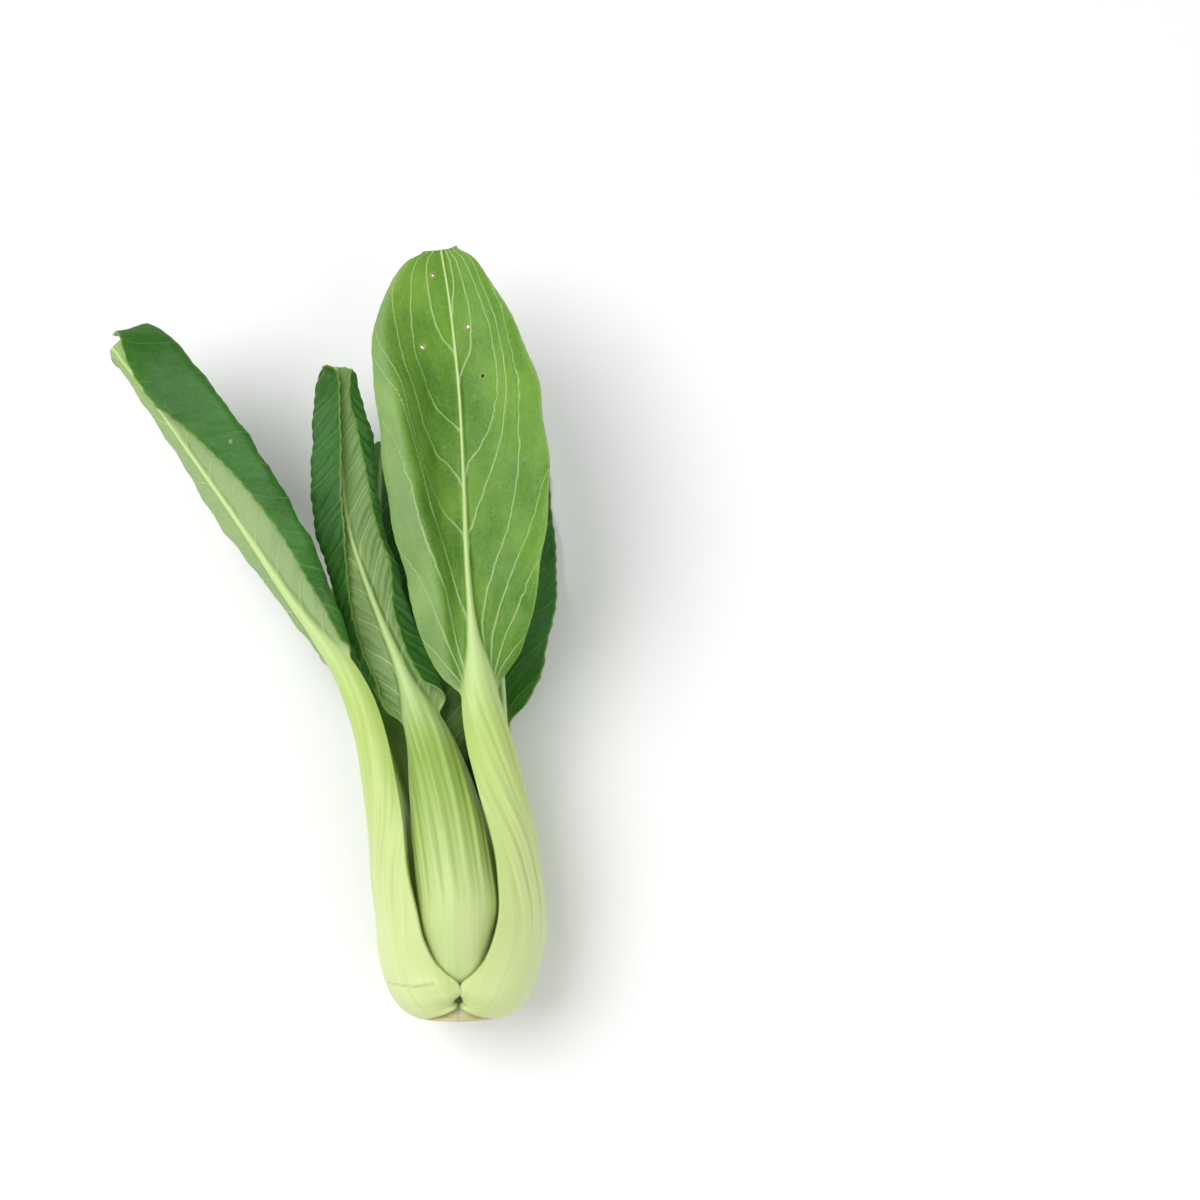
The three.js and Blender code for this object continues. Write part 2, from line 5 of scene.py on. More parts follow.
import bpy
import numpy as np
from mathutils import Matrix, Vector


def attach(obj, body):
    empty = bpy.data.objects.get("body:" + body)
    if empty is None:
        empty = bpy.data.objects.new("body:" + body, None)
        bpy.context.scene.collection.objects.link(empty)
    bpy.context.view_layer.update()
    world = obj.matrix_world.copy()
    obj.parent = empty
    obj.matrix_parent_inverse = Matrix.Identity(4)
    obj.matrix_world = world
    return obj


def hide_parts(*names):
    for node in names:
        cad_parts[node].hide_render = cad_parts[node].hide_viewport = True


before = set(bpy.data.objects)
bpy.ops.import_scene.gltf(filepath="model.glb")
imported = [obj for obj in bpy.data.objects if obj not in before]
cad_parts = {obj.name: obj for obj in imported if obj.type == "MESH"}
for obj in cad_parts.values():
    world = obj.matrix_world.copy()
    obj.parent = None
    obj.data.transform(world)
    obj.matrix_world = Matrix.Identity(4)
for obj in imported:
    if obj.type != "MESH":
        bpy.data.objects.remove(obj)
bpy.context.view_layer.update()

# Lengths in this file are in millimetres, as in the part's source, until a mesh is made.
METRE = 0.001
BULB_RADIUS = 25
AXIS_X = -0.5
AXIS_Z = 24.5
STEM_RADIUS = 12
REST_X = -0.4
REST_Y = 34
BLADE_THICKNESS = 0.75
STALK_EDGE = 1.1
RIPPLE_LENGTH = 21
FOLD_RADIUS = 1.6
CUT_LEAN = 0.15
CUT_REACH = 22
TINY = 0.01
# Lowest height of a leaf's inner face
INNER_FLOOR = 0.1
SPINE_SAMPLES = 4000
CURL_STEPS = 240

# [radius, y] up the bulb, of the outer leaves' outer faces
OUTER_RISE = [
    [STEM_RADIUS + 0.5, 0.3], [16.2, 2.2], [19.7, 5.8], [22.5, 11.4], [24.2, 18.4], [BULB_RADIUS, 27],
]


def cupped(*turn):
    """One wide fold over a whole half blade, with its turn along the blade."""
    return [{"at": [[0, 0.5]], "spread": [[0, 1]], "turn": turn}]


# The leaves, as in the part's source. A leaf's centre line climbs the bulb at an angle from +Z, through
# rise's [radius, y] points, and goes on through free's [x, y, z] points. Along it, as [distance, value]
# points, come the angle it faces, the stalk's half width, the thickness, and how far each half of the stalk
# bends in. The blade begins at start. Along it, as [share, value] points, come each half's width and its
# folds: where across the half each one is, how wide it spreads and how far it turns.
FRONT_RIGHT = {
    "name": "leaf_front_right",
    "angle": 80,
    "rise": OUTER_RISE,
    "free": [
        [23, 38, 31.5], [20.2, 52, 36.5], [15.8, 65, 42], [11, 78, 46.5], [7.2, 89, 49.5], [4, 104, 51.5],
        [1.6, 127, 52.5], [0.4, 150, 52], [-1.4, 180, 50.5], [-4.5, 207, 47.5], [-7.5, 225, 44],
    ],
    "facing": [[0, 80], [45, 76], [72, 50], [91, 30], [112, 10], [238, 0]],
    "start": 100,
    "stalk": [
        [0, 14.3], [5, 17.15], [8, 20], [10.5, 20.5], [14, 18.4], [18, 17], [25, 16], [40, 13.8],
        [56, 11.2], [72, 9], [84, 7.8], [96, 6.2], [108, 4.3], [118, 2.6], [130, 1.8], [180, 1], [238, 0.6],
    ],
    "thick": [[0, 5.5], [40, 5.5], [70, 5], [98, 4.2], [118, 2.8], [160, 1.8], [238, 0.9]],
    "bend": [
        [0, 74], [5, 80], [8, 81], [10, 81], [14, 69], [18, 55], [25, 44], [40, 40], [60, 42], [90, 44],
        [112, 12], [130, -8], [238, -8],
    ],
    "ripple": 0.5,
    "left": {
        "blade": [
            [0, 0], [0.05, 6], [0.1, 11], [0.17, 15.5], [0.27, 20.3], [0.4, 25], [0.61, 27.5], [0.73, 26],
            [0.85, 21.5], [0.93, 15.8], [0.98, 10], [1, 5],
        ],
        "folds": [
            {
                "at": [[0, 0.15], [1, 0.35]],
                "spread": [[0, 0.25]],
                "turn": [[0, -30], [0.2, -42], [0.6, -40], [0.85, -10], [1, 0]],
            },
            {
                "at": [[0, 0.45], [0.25, 0.5], [0.5, 0.7], [1, 0.88]],
                "spread": [[0, 0.2], [0.15, 0.12], [0.6, 0.14], [0.85, 0.2]],
                "turn": [[0, 60], [0.2, 88], [0.6, 75], [0.9, 20], [1, 0]],
            },
        ],
    },
    "right": {
        "blade": [
            [0, 0], [0.04, 5], [0.08, 10], [0.15, 15.5], [0.25, 20.6], [0.34, 23.6], [0.48, 25.8],
            [0.62, 25], [0.72, 22], [0.83, 17.2], [0.91, 12.3], [0.965, 8.4], [1, 4.5],
        ],
        "folds": [{"at": [[0, 0.5]], "spread": [[0, 0.9]], "turn": [[0, 0], [0.12, -28], [1, -30]]}],
    },
}

FRONT_LEFT = {
    "name": "leaf_front_left",
    "angle": -80,
    "rise": OUTER_RISE,
    "free": [
        [-26.6, 38, 29], [-27.2, 50, 32], [-28.4, 63, 35.5], [-30.5, 78, 38.5], [-33.5, 89, 40.5],
        [-37.5, 98.5, 41.5], [-43.5, 108, 42], [-52, 120, 42.5], [-66, 141, 42], [-80, 161, 40],
        [-94, 181, 37.5], [-106.5, 197.5, 34],
    ],
    "facing": [[0, -80], [45, -79], [70, -62], [100, -45], [130, -36], [236, -30]],
    "start": 106,
    "stalk": [
        [0, 14.3], [5, 17.35], [8, 21.4], [10.5, 21.9], [14, 19.4], [18, 17.4], [25, 16], [40, 13.4],
        [56, 9.8], [72, 7], [84, 5.8], [96, 5], [108, 3.8], [124, 2.2], [180, 0.9], [236, 0.6],
    ],
    "thick": [[0, 5.5], [40, 5.5], [70, 5], [98, 4.2], [118, 2.8], [160, 1.8], [236, 0.9]],
    "bend": [
        [0, 74], [5, 80], [8, 85], [10, 83], [14, 71], [18, 58], [25, 45], [40, 38], [60, 42], [90, 44],
        [112, 18], [236, 6],
    ],
    "ripple": 0.5,
    "left": {
        "blade": [
            [0, 0], [0.05, 8], [0.15, 17], [0.3, 23], [0.5, 26], [0.75, 22], [0.9, 14], [0.98, 6], [1, 0.4],
        ],
        "folds": [{
            "at": [[0, 0.12], [0.2, 0.14], [0.45, 0.2], [0.7, 0.12]],
            "spread": [[0, 0.24]],
            "turn": [[0, 20], [0.15, 78], [1, 70]],
        }],
    },
    "right": {
        "blade": [
            [0, 0], [0.05, 8], [0.14, 14.5], [0.3, 22], [0.5, 27.5], [0.6, 30], [0.7, 33.5], [0.8, 35.5],
            [0.9, 33], [0.97, 26], [1, 14],
        ],
        "folds": [{
            "at": [
                [0, 0.55], [0.14, 0.65], [0.3, 0.66], [0.5, 0.625], [0.6, 0.59], [0.7, 0.545],
                [0.8, 0.5],
            ],
            "spread": [[0, 0.6], [0.12, 0.5], [0.3, 0.32], [0.8, 0.24]],
            "turn": [[0, -150], [0.2, -168], [0.8, -172], [1, -120]],
        }],
    },
}

FRONT_MIDDLE = {
    "name": "leaf_front_middle",
    "angle": -2,
    "rise": [[10.8, 7.4], [13.7, 9.6], [16.6, 14], [20, 21.6], [22, 31]],
    "free": [
        [-3.2, 45, 45.6], [-6, 60, 44], [-10, 75, 41.5], [-14.5, 88, 39], [-19.2, 101, 37.5],
        [-25, 115, 36.5], [-30, 128, 36], [-34.5, 142, 36], [-37, 160, 37], [-38.5, 178, 37.5],
        [-39, 191, 36],
    ],
    "facing": [[0, -2], [60, -6], [80, -12], [110, -10], [210, -4]],
    "start": 82,
    "stalk": [
        [0, 8.6], [8, 10.6], [14, 12], [24, 13.2], [45, 12.6], [60, 10.4], [75, 7.2], [86, 4.8], [93, 3.2],
        [104, 2], [122, 1.2], [150, 0.9], [210, 0.6],
    ],
    "thick": [
        [0, 4.5], [20, 5.3], [45, 5.3], [70, 4.4], [88, 3.3], [104, 2.3], [122, 1.8], [150, 1.4],
        [210, 0.9],
    ],
    "bend": [[0, 55], [24, 56], [50, 56], [75, 48], [95, 14], [210, 4]],
    "ripple": 0.3,
    "left": {
        "blade": [
            [0, 0], [0.08, 8], [0.2, 14.5], [0.35, 15.5], [0.46, 17.5], [0.56, 21], [0.8, 19], [0.93, 15],
            [0.985, 10], [1, 2],
        ],
        "folds": [{
            "at": [[0, 0.65], [0.2, 0.72], [0.35, 0.66], [0.46, 0.55], [0.56, 0.48], [1, 0.42]],
            "spread": [[0, 0.4]],
            "turn": [[0, -150], [0.2, -175], [1, -176]],
        }],
    },
    "right": {
        "blade": [
            [0, 0], [0.05, 8], [0.13, 15], [0.29, 14], [0.44, 12], [0.6, 13], [0.78, 15], [0.9, 12.5],
            [0.975, 9], [1, 2],
        ],
        "folds": [{
            "at": [
                [0, 0.5], [0.13, 0.5], [0.29, 0.59], [0.44, 0.78], [0.6, 0.76], [0.78, 0.68], [1, 0.6],
            ],
            "spread": [[0, 0.36]],
            "turn": [[0, -150], [0.2, -168], [1, -172]],
        }],
    },
}

BACK_RIGHT = {
    "name": "leaf_back_right",
    "angle": 176,
    "rise": [[10.8, 7.2], [14.3, 9.3], [18.7, 13.8], [23.1, 20.9], [25.2, 28.4]],
    "free": [
        [1.5, 42, -0.9], [3.5, 58, 0.6], [5, 75, 2.4], [5.5, 92, 4.6], [4.5, 110, 6.6], [3, 135, 8],
        [1, 160, 8.2], [-1.5, 185, 7.6], [-4, 206, 6.6],
    ],
    "facing": [[0, 176], [60, 178], [110, 183], [215, 186]],
    "start": 86,
    "stalk": [
        [0, 8.6], [8, 10.6], [20, 14], [32, 15], [45, 15], [60, 12.5], [75, 9.5], [90, 6.5], [104, 4],
        [140, 2], [215, 0.8],
    ],
    "thick": [[0, 4.5], [20, 5.4], [40, 5.4], [70, 4.6], [92, 3.4], [110, 2.4], [150, 1.5], [215, 0.9]],
    "bend": [[0, 55], [26, 60], [50, 58], [75, 46], [95, 8], [215, -4]],
    "ripple": 0.4,
    "left": {
        "blade": [
            [0, 0], [0.06, 7], [0.16, 15], [0.4, 23], [0.6, 24], [0.8, 20], [0.93, 12], [0.98, 6.5],
            [1, 0.4],
        ],
        "folds": cupped([0, 0], [0.2, -34], [1, -30]),
    },
    "right": {
        "blade": [
            [0, 0], [0.06, 8], [0.16, 15], [0.4, 20.5], [0.6, 21], [0.8, 18], [0.93, 11.5], [0.98, 6.5],
            [1, 0.4],
        ],
        "folds": cupped([0, 0], [0.2, -34], [1, -30]),
    },
}

BACK_LEFT = {
    "name": "leaf_back_left",
    "angle": -122,
    "rise": [[9.4, 12], [12, 14.2], [14.1, 19], [15.8, 25.6], [16.6, 34]],
    "free": [
        [-17, 50, 16.6], [-19.5, 66, 16], [-22.5, 82, 14.4], [-24.5, 98, 14.2], [-25.5, 115, 11.6],
        [-26.5, 135, 9.2], [-27, 155, 8.2], [-26.5, 175, 8],
    ],
    "facing": [[0, -122], [45, -118], [75, -142], [100, -182], [130, -202], [200, -206]],
    "start": 74,
    "stalk": [
        [0, 6.4], [10, 8.4], [24, 9.2], [45, 7.6], [60, 6.8], [75, 5.6], [90, 3.6], [120, 2], [185, 0.8],
    ],
    "thick": [[0, 3], [20, 3.4], [45, 3.4], [70, 3], [90, 2.2], [130, 1.5], [185, 0.9]],
    "bend": [[0, 54], [45, 54], [70, 36], [90, 4], [185, -4]],
    "ripple": 0.4,
    "left": {
        "blade": [[0, 0], [0.08, 7], [0.2, 13], [0.45, 19], [0.7, 18], [0.9, 11], [0.98, 5], [1, 0.4]],
        "folds": cupped([0, 0], [0.2, -30], [1, -28]),
    },
    "right": {
        "blade": [[0, 0], [0.08, 6], [0.2, 11], [0.45, 16], [0.7, 15], [0.9, 9], [0.98, 4.5], [1, 0.4]],
        "folds": cupped([0, 0], [0.2, -22], [1, -20]),
    },
}

HEART_RIGHT = {
    "name": "leaf_heart_right",
    "angle": 98,
    "rise": [[9.4, 13.5], [12, 15.4], [14.6, 20], [16.2, 27], [16.4, 35]],
    "free": [
        [14.2, 48, 22], [13.4, 62, 22.5], [13, 78, 24], [12, 95, 26], [10, 115, 29], [7.5, 135, 31],
        [5, 153, 32],
    ],
    "facing": [[0, 98], [60, 92], [90, 75], [120, 45], [160, 25]],
    "start": 44,
    "stalk": [[0, 7.4], [10, 9], [24, 9.4], [40, 8], [55, 5], [75, 3], [120, 1.6], [165, 0.8]],
    "thick": [[0, 2.8], [12, 3.2], [30, 3.2], [50, 2.6], [75, 1.8], [110, 1.3], [165, 0.9]],
    "bend": [[0, 56], [40, 58], [60, 40], [100, 20], [165, 8]],
    "ripple": 0.3,
    "left": {
        "blade": [[0, 0], [0.12, 4], [0.3, 9], [0.55, 13], [0.8, 11], [0.95, 5], [1, 0.4]],
        "folds": cupped([0, 20], [0.4, 50], [1, 30]),
    },
    "right": {
        "blade": [[0, 0], [0.12, 4], [0.3, 8], [0.55, 11], [0.8, 10], [0.95, 5], [1, 0.4]],
        "folds": cupped([0, 20], [0.4, 45], [1, 30]),
    },
}

HEART_LEFT = {
    "name": "leaf_heart_left",
    "angle": -56,
    "rise": [[7.8, 15.8], [9.4, 18], [11, 22.5], [11.8, 29], [12, 36]],
    "free": [
        [-11, 50, 29.5], [-10.5, 64, 28.5], [-10, 80, 27.5], [-10, 96, 27], [-10.5, 114, 27],
        [-11, 130, 27],
    ],
    "facing": [[0, -56], [60, -50], [90, -42], [140, -30]],
    "start": 36,
    "stalk": [[0, 6], [10, 6.8], [24, 7], [36, 6], [50, 3.6], [75, 2.2], [130, 0.8]],
    "thick": [[0, 2.2], [12, 2.6], [30, 2.6], [50, 2], [75, 1.5], [130, 0.9]],
    "bend": [[0, 54], [36, 56], [55, 40], [90, 20], [130, 8]],
    "ripple": 0.3,
    "left": {
        "blade": [[0, 0], [0.12, 4], [0.3, 8], [0.55, 11], [0.8, 9], [0.95, 4], [1, 0.4]],
        "folds": cupped([0, 20], [0.4, 60], [1, 40]),
    },
    "right": {
        "blade": [[0, 0], [0.12, 4], [0.3, 8], [0.55, 10], [0.8, 8], [0.95, 4], [1, 0.4]],
        "folds": cupped([0, 20], [0.4, 60], [1, 40]),
    },
}

HEART_BACK = {
    "name": "leaf_heart_back",
    "angle": 178,
    "rise": [[4.9, 19], [6.6, 21.5], [8, 26], [8.4, 32]],
    "free": [[-0.6, 44, 15.6], [-0.2, 58, 14.8], [0.2, 74, 14.8], [0.4, 90, 15.5], [0.2, 104, 17]],
    "facing": [[0, 178], [110, 182]],
    "start": 30,
    "stalk": [[0, 3.8], [20, 4.6], [32, 4], [45, 2.4], [95, 0.8]],
    "thick": [[0, 1.8], [28, 2], [45, 1.6], [95, 0.9]],
    "bend": [[0, 50], [34, 52], [50, 36], [95, 16]],
    "ripple": 0.2,
    "left": {
        "blade": [[0, 0], [0.2, 3], [0.5, 6], [0.8, 5], [1, 0.4]],
        "folds": cupped([0, 10], [0.4, 40], [1, 30]),
    },
    "right": {
        "blade": [[0, 0], [0.2, 3], [0.5, 6], [0.8, 5], [1, 0.4]],
        "folds": cupped([0, 10], [0.4, 40], [1, 30]),
    },
}

LEAVES = [
    FRONT_RIGHT,
    FRONT_LEFT,
    FRONT_MIDDLE,
    BACK_RIGHT,
    BACK_LEFT,
    HEART_RIGHT,
    HEART_LEFT,
    HEART_BACK,
]

# Side veins of a half blade, outermost first. Each is [blade share along, share across] points, and runs
# straight on past its ends.
COMMON_VEINS = [[[0.1 * k - 0.16, 0], [0.1 * k - 0.06, 0.45], [0.1 * k + 0.05, 1.05]] for k in range(12)]
FRONT_RIGHT_VEINS = {
    "left": [
        [[-0.05, 0.14], [0.02, 0.4], [0.1, 0.8], [0.15, 1.05]],
        [[-0.05, 0.08], [0.05, 0.3], [0.15, 0.56], [0.25, 0.78], [0.36, 1.04]],
        [[-0.05, 0.03], [0.1, 0.22], [0.2, 0.4], [0.35, 0.6], [0.5, 0.76], [0.66, 1.03]],
        [[0.12, 0], [0.24, 0.16], [0.36, 0.38], [0.5, 0.58], [0.64, 0.76], [0.78, 1.02]],
        [[0.33, 0], [0.4, 0.26], [0.46, 0.44], [0.55, 0.6], [0.7, 0.77], [0.86, 1.02]],
        [[0.45, 0], [0.53, 0.28], [0.6, 0.46], [0.68, 0.58], [0.82, 0.73], [1, 1]],
        [[0.57, 0], [0.62, 0.22], [0.69, 0.4], [0.77, 0.49], [0.88, 0.56], [1, 0.7]],
        [[0.74, 0], [0.8, 0.16], [0.88, 0.27], [1, 0.4]],
    ],
    "right": [
        [[-0.05, 0.2], [0, 0.42], [0.06, 0.75], [0.11, 1.05]],
        [[-0.05, 0.12], [0.03, 0.34], [0.12, 0.62], [0.2, 0.82], [0.28, 1.04]],
        [[-0.05, 0.06], [0.08, 0.24], [0.18, 0.46], [0.28, 0.68], [0.38, 0.86], [0.48, 1.03]],
        [
            [-0.05, 0.02], [0.12, 0.1], [0.2, 0.22], [0.28, 0.39], [0.39, 0.56], [0.55, 0.68], [0.73, 0.8],
            [0.92, 1.03],
        ],
        [[0.3, 0], [0.38, 0.12], [0.46, 0.3], [0.56, 0.48], [0.7, 0.63], [0.84, 0.76], [1, 0.96]],
        [[0.45, 0], [0.52, 0.2], [0.58, 0.37], [0.66, 0.48], [0.8, 0.58], [0.92, 0.66], [1, 0.75]],
        [[0.66, 0], [0.73, 0.18], [0.81, 0.3], [0.92, 0.4], [1, 0.48]],
        [[0.82, 0], [0.89, 0.14], [1, 0.25]],
    ],
}

# The inner end of a half blade for its veins, as a share of the stalk's half width
VEIN_ROOT = 0.6
# Spacing of the side veins past the first and last one, as a share of the half blade's width
VEIN_SPACE = 0.3
VEIN_BREADTH = 0.55
VEIN_HEIGHT = 0.3
VEIN_GROOVE = 0.12
MIDRIB_GROOVE = 0.25
# Bulges stand at full height between veins this far apart
FULL_BULGE_GAP = 8
# Wavelength and height of the blade's gentle rolls, with so many of each
ROLLS = ((34, 0.5), (17, 0.3), (8.5, 0.14))
ROLLS_EACH = 3
TOOTH_LENGTH = 4.6
RIB_SPACING = 3.7
FINE_RIB_SPACING = 1.7
# How far a point is from the nearest scar where the leaf has none
UNHURT = 20.0
# Makes shares of the blade comparable with offsets in the search for a hole's middle
ROUGH_BLADE_LENGTH = 100
# Added to the distance from a crack, so that it shows more faintly than a hole's rim
CRACK_FAINTNESS = 0.15

# [radius, y] from the middle of the cut, over its rim and up the stem's side to its hidden top
STEM_PROFILE = np.array([
    [0, 0], [3, 0], [6, 0], [8, 0], [9.5, 0], [10.6, 0.02], [11.4, 0.1], [11.8, 0.35], [11.9, 0.8],
    [11.1, 2], [10.4, 3], [8.6, 7], [7.4, 10.5], [6, 15], [3.6, 19], [0, 21],
])
STEM_RINGS = 90
STEM_SIDES = 160
STEM_RING_RADIUS = 8.6

# The leaves' finer looks: the mesh's rows and its columns a side, the heights of the bulges between side
# veins, of the puckers between small veins, of the stalk's ribs and of the margin's teeth, how green the
# stalk is, partly its own colour and partly painted shade on leaves that lie deeper in the head, and how
# pale the outer face is, in all, plus a painted highlight beyond the last fold of the front right leaf's
# left half, where that strip faces the light. Small round holes and pale spots are [blade share, offset,
# radius] each, and a crack is a line of [offset, distance] points.
# A green look darkens the stalk: partly painted shade, as these leaves lie deeper in the head, partly their
# own greener colour
HIDDEN_LOOK = {"pucker": 0.15, "ribs": 0.1, "green": 0.5, "pale": 0.1}
YOUNG_LOOK = {"quilt": 0.3, "pucker": 0.15, "ribs": 0.08, "teeth": 0.3, "green": 1, "pale": 0.3}
LOOKS = {
    "leaf_front_right": {
        "rows": 340, "columns": 70, "quilt": 0.25, "pucker": 0.05, "ribs": 0.12, "teeth": 0.12,
        # The strip beyond the left half's last fold gets a painted highlight, as it faces the light
        "green": 0, "pale": 0, "painted_highlight_beyond_fold": 0.4,
        "holes": [[0.939, -4, 0.6], [0.807, 4.5, 0.7], [0.766, -10.1, 0.7], [0.688, 7.5, 0.65]],
        "spots": [[0.537, -5.2, 0]],
    },
    "leaf_front_left": {
        "rows": 330, "columns": 66, "quilt": 0.4, "pucker": 0.12, "ribs": 0.1, "teeth": 0.5,
        "green": 0, "pale": 0.75,
        "spots": [[0.59, 24.5, 0.2]],
        "cracks": [[[2, 13.9], [5.2, 13.1], [11.5, 11.7], [16.1, 11.7]]],
    },
    "leaf_front_middle": {
        "rows": 310, "columns": 66, "quilt": 0.4, "pucker": 0.35, "ribs": 0.22, "teeth": 0.5,
        "green": 1, "pale": 0.4,
    },
    "leaf_back_right": {**HIDDEN_LOOK, "rows": 200, "columns": 40, "quilt": 0.35, "teeth": 0.5},
    "leaf_back_left": {**HIDDEN_LOOK, "rows": 170, "columns": 34, "quilt": 0.3, "teeth": 0.4},
    "leaf_heart_right": {**YOUNG_LOOK, "rows": 150, "columns": 30},
    "leaf_heart_left": {**YOUNG_LOOK, "rows": 130, "columns": 28},
    "leaf_heart_back": {
        **YOUNG_LOOK, "rows": 90, "columns": 20, "quilt": 0.2, "pucker": 0.1, "ribs": 0.05, "teeth": 0.2,
    },
}


def curve(keys, x):
    """The value at x of a smooth curve through keys, a list of [x, value], that never overshoots them."""
    at = np.array([key[0] for key in keys], float)
    value = np.array([key[1] for key in keys], float)
    x = np.clip(np.asarray(x, float), at[0], at[-1])
    if len(at) == 1:
        return np.full(x.shape, value[0])
    rise = np.diff(value) / np.diff(at)
    slope = np.zeros(len(at))
    same = rise[:-1] * rise[1:] > 0
    both = np.where(same, rise[:-1] + rise[1:], 1)
    slope[1:-1] = np.where(same, 2 * rise[:-1] * rise[1:] / both, 0)
    i = np.clip(np.searchsorted(at, x, side="right") - 1, 0, len(at) - 2)
    width = at[i + 1] - at[i]
    t = (x - at[i]) / width
    ease = t * t * (3 - 2 * t)
    bulge = t * (1 - t) * width
    return value[i] + (value[i + 1] - value[i]) * ease + bulge * ((1 - t) * slope[i] - t * slope[i + 1])


def smoothstep(x, low, high):
    t = np.clip((x - low) / (high - low), 0, 1)
    return t * t * (3 - 2 * t)


def unit(v):
    return v / np.linalg.norm(v, axis=-1, keepdims=True)


def around(angle, radius, y):
    """A point round the bulb's axis, at an angle from +Z towards +X."""
    turn = math.radians(angle)
    return [AXIS_X + radius * math.sin(turn), y, AXIS_Z + radius * math.cos(turn)]


def lean_cut(points):
    """Points of the head cut a little askew: each moves back by its height above the cut's low edge."""
    height = np.maximum(0, points[..., 2] - AXIS_Z + STEM_RADIUS)
    moved = points.copy()
    moved[..., 1] -= CUT_LEAN * height * (1 - smoothstep(points[..., 1], 0, CUT_REACH))
    return moved


def smooth_line(points):
    """Points close together on a smooth curve through the given ones, and their distances along it."""
    p = np.array(points, float)
    p = np.vstack([2 * p[0] - p[1], p, 2 * p[-1] - p[-2]])
    step = np.sqrt(np.linalg.norm(np.diff(p, axis=0), axis=1))[:, None]
    pieces = len(points) - 1
    along = np.linspace(0, pieces, SPINE_SAMPLES)
    i = np.minimum(along.astype(int), pieces - 1)
    t = (along - i)[:, None]
    a, b, c, d = p[i], p[i + 1], p[i + 2], p[i + 3]
    s0, s1, s2 = step[i], step[i + 1], step[i + 2]
    out = ((b - a) / s0 - (c - a) / (s0 + s1) + (c - b) / s1) * s1
    into = ((c - b) / s1 - (d - b) / (s1 + s2) + (d - c) / s2) * s1
    line = b + out * t + (3 * (c - b) - 2 * out - into) * t**2 + (2 * (b - c) + out + into) * t**3
    distance = np.concatenate([[0], np.cumsum(np.linalg.norm(np.diff(line, axis=0), axis=1))])
    return line, distance


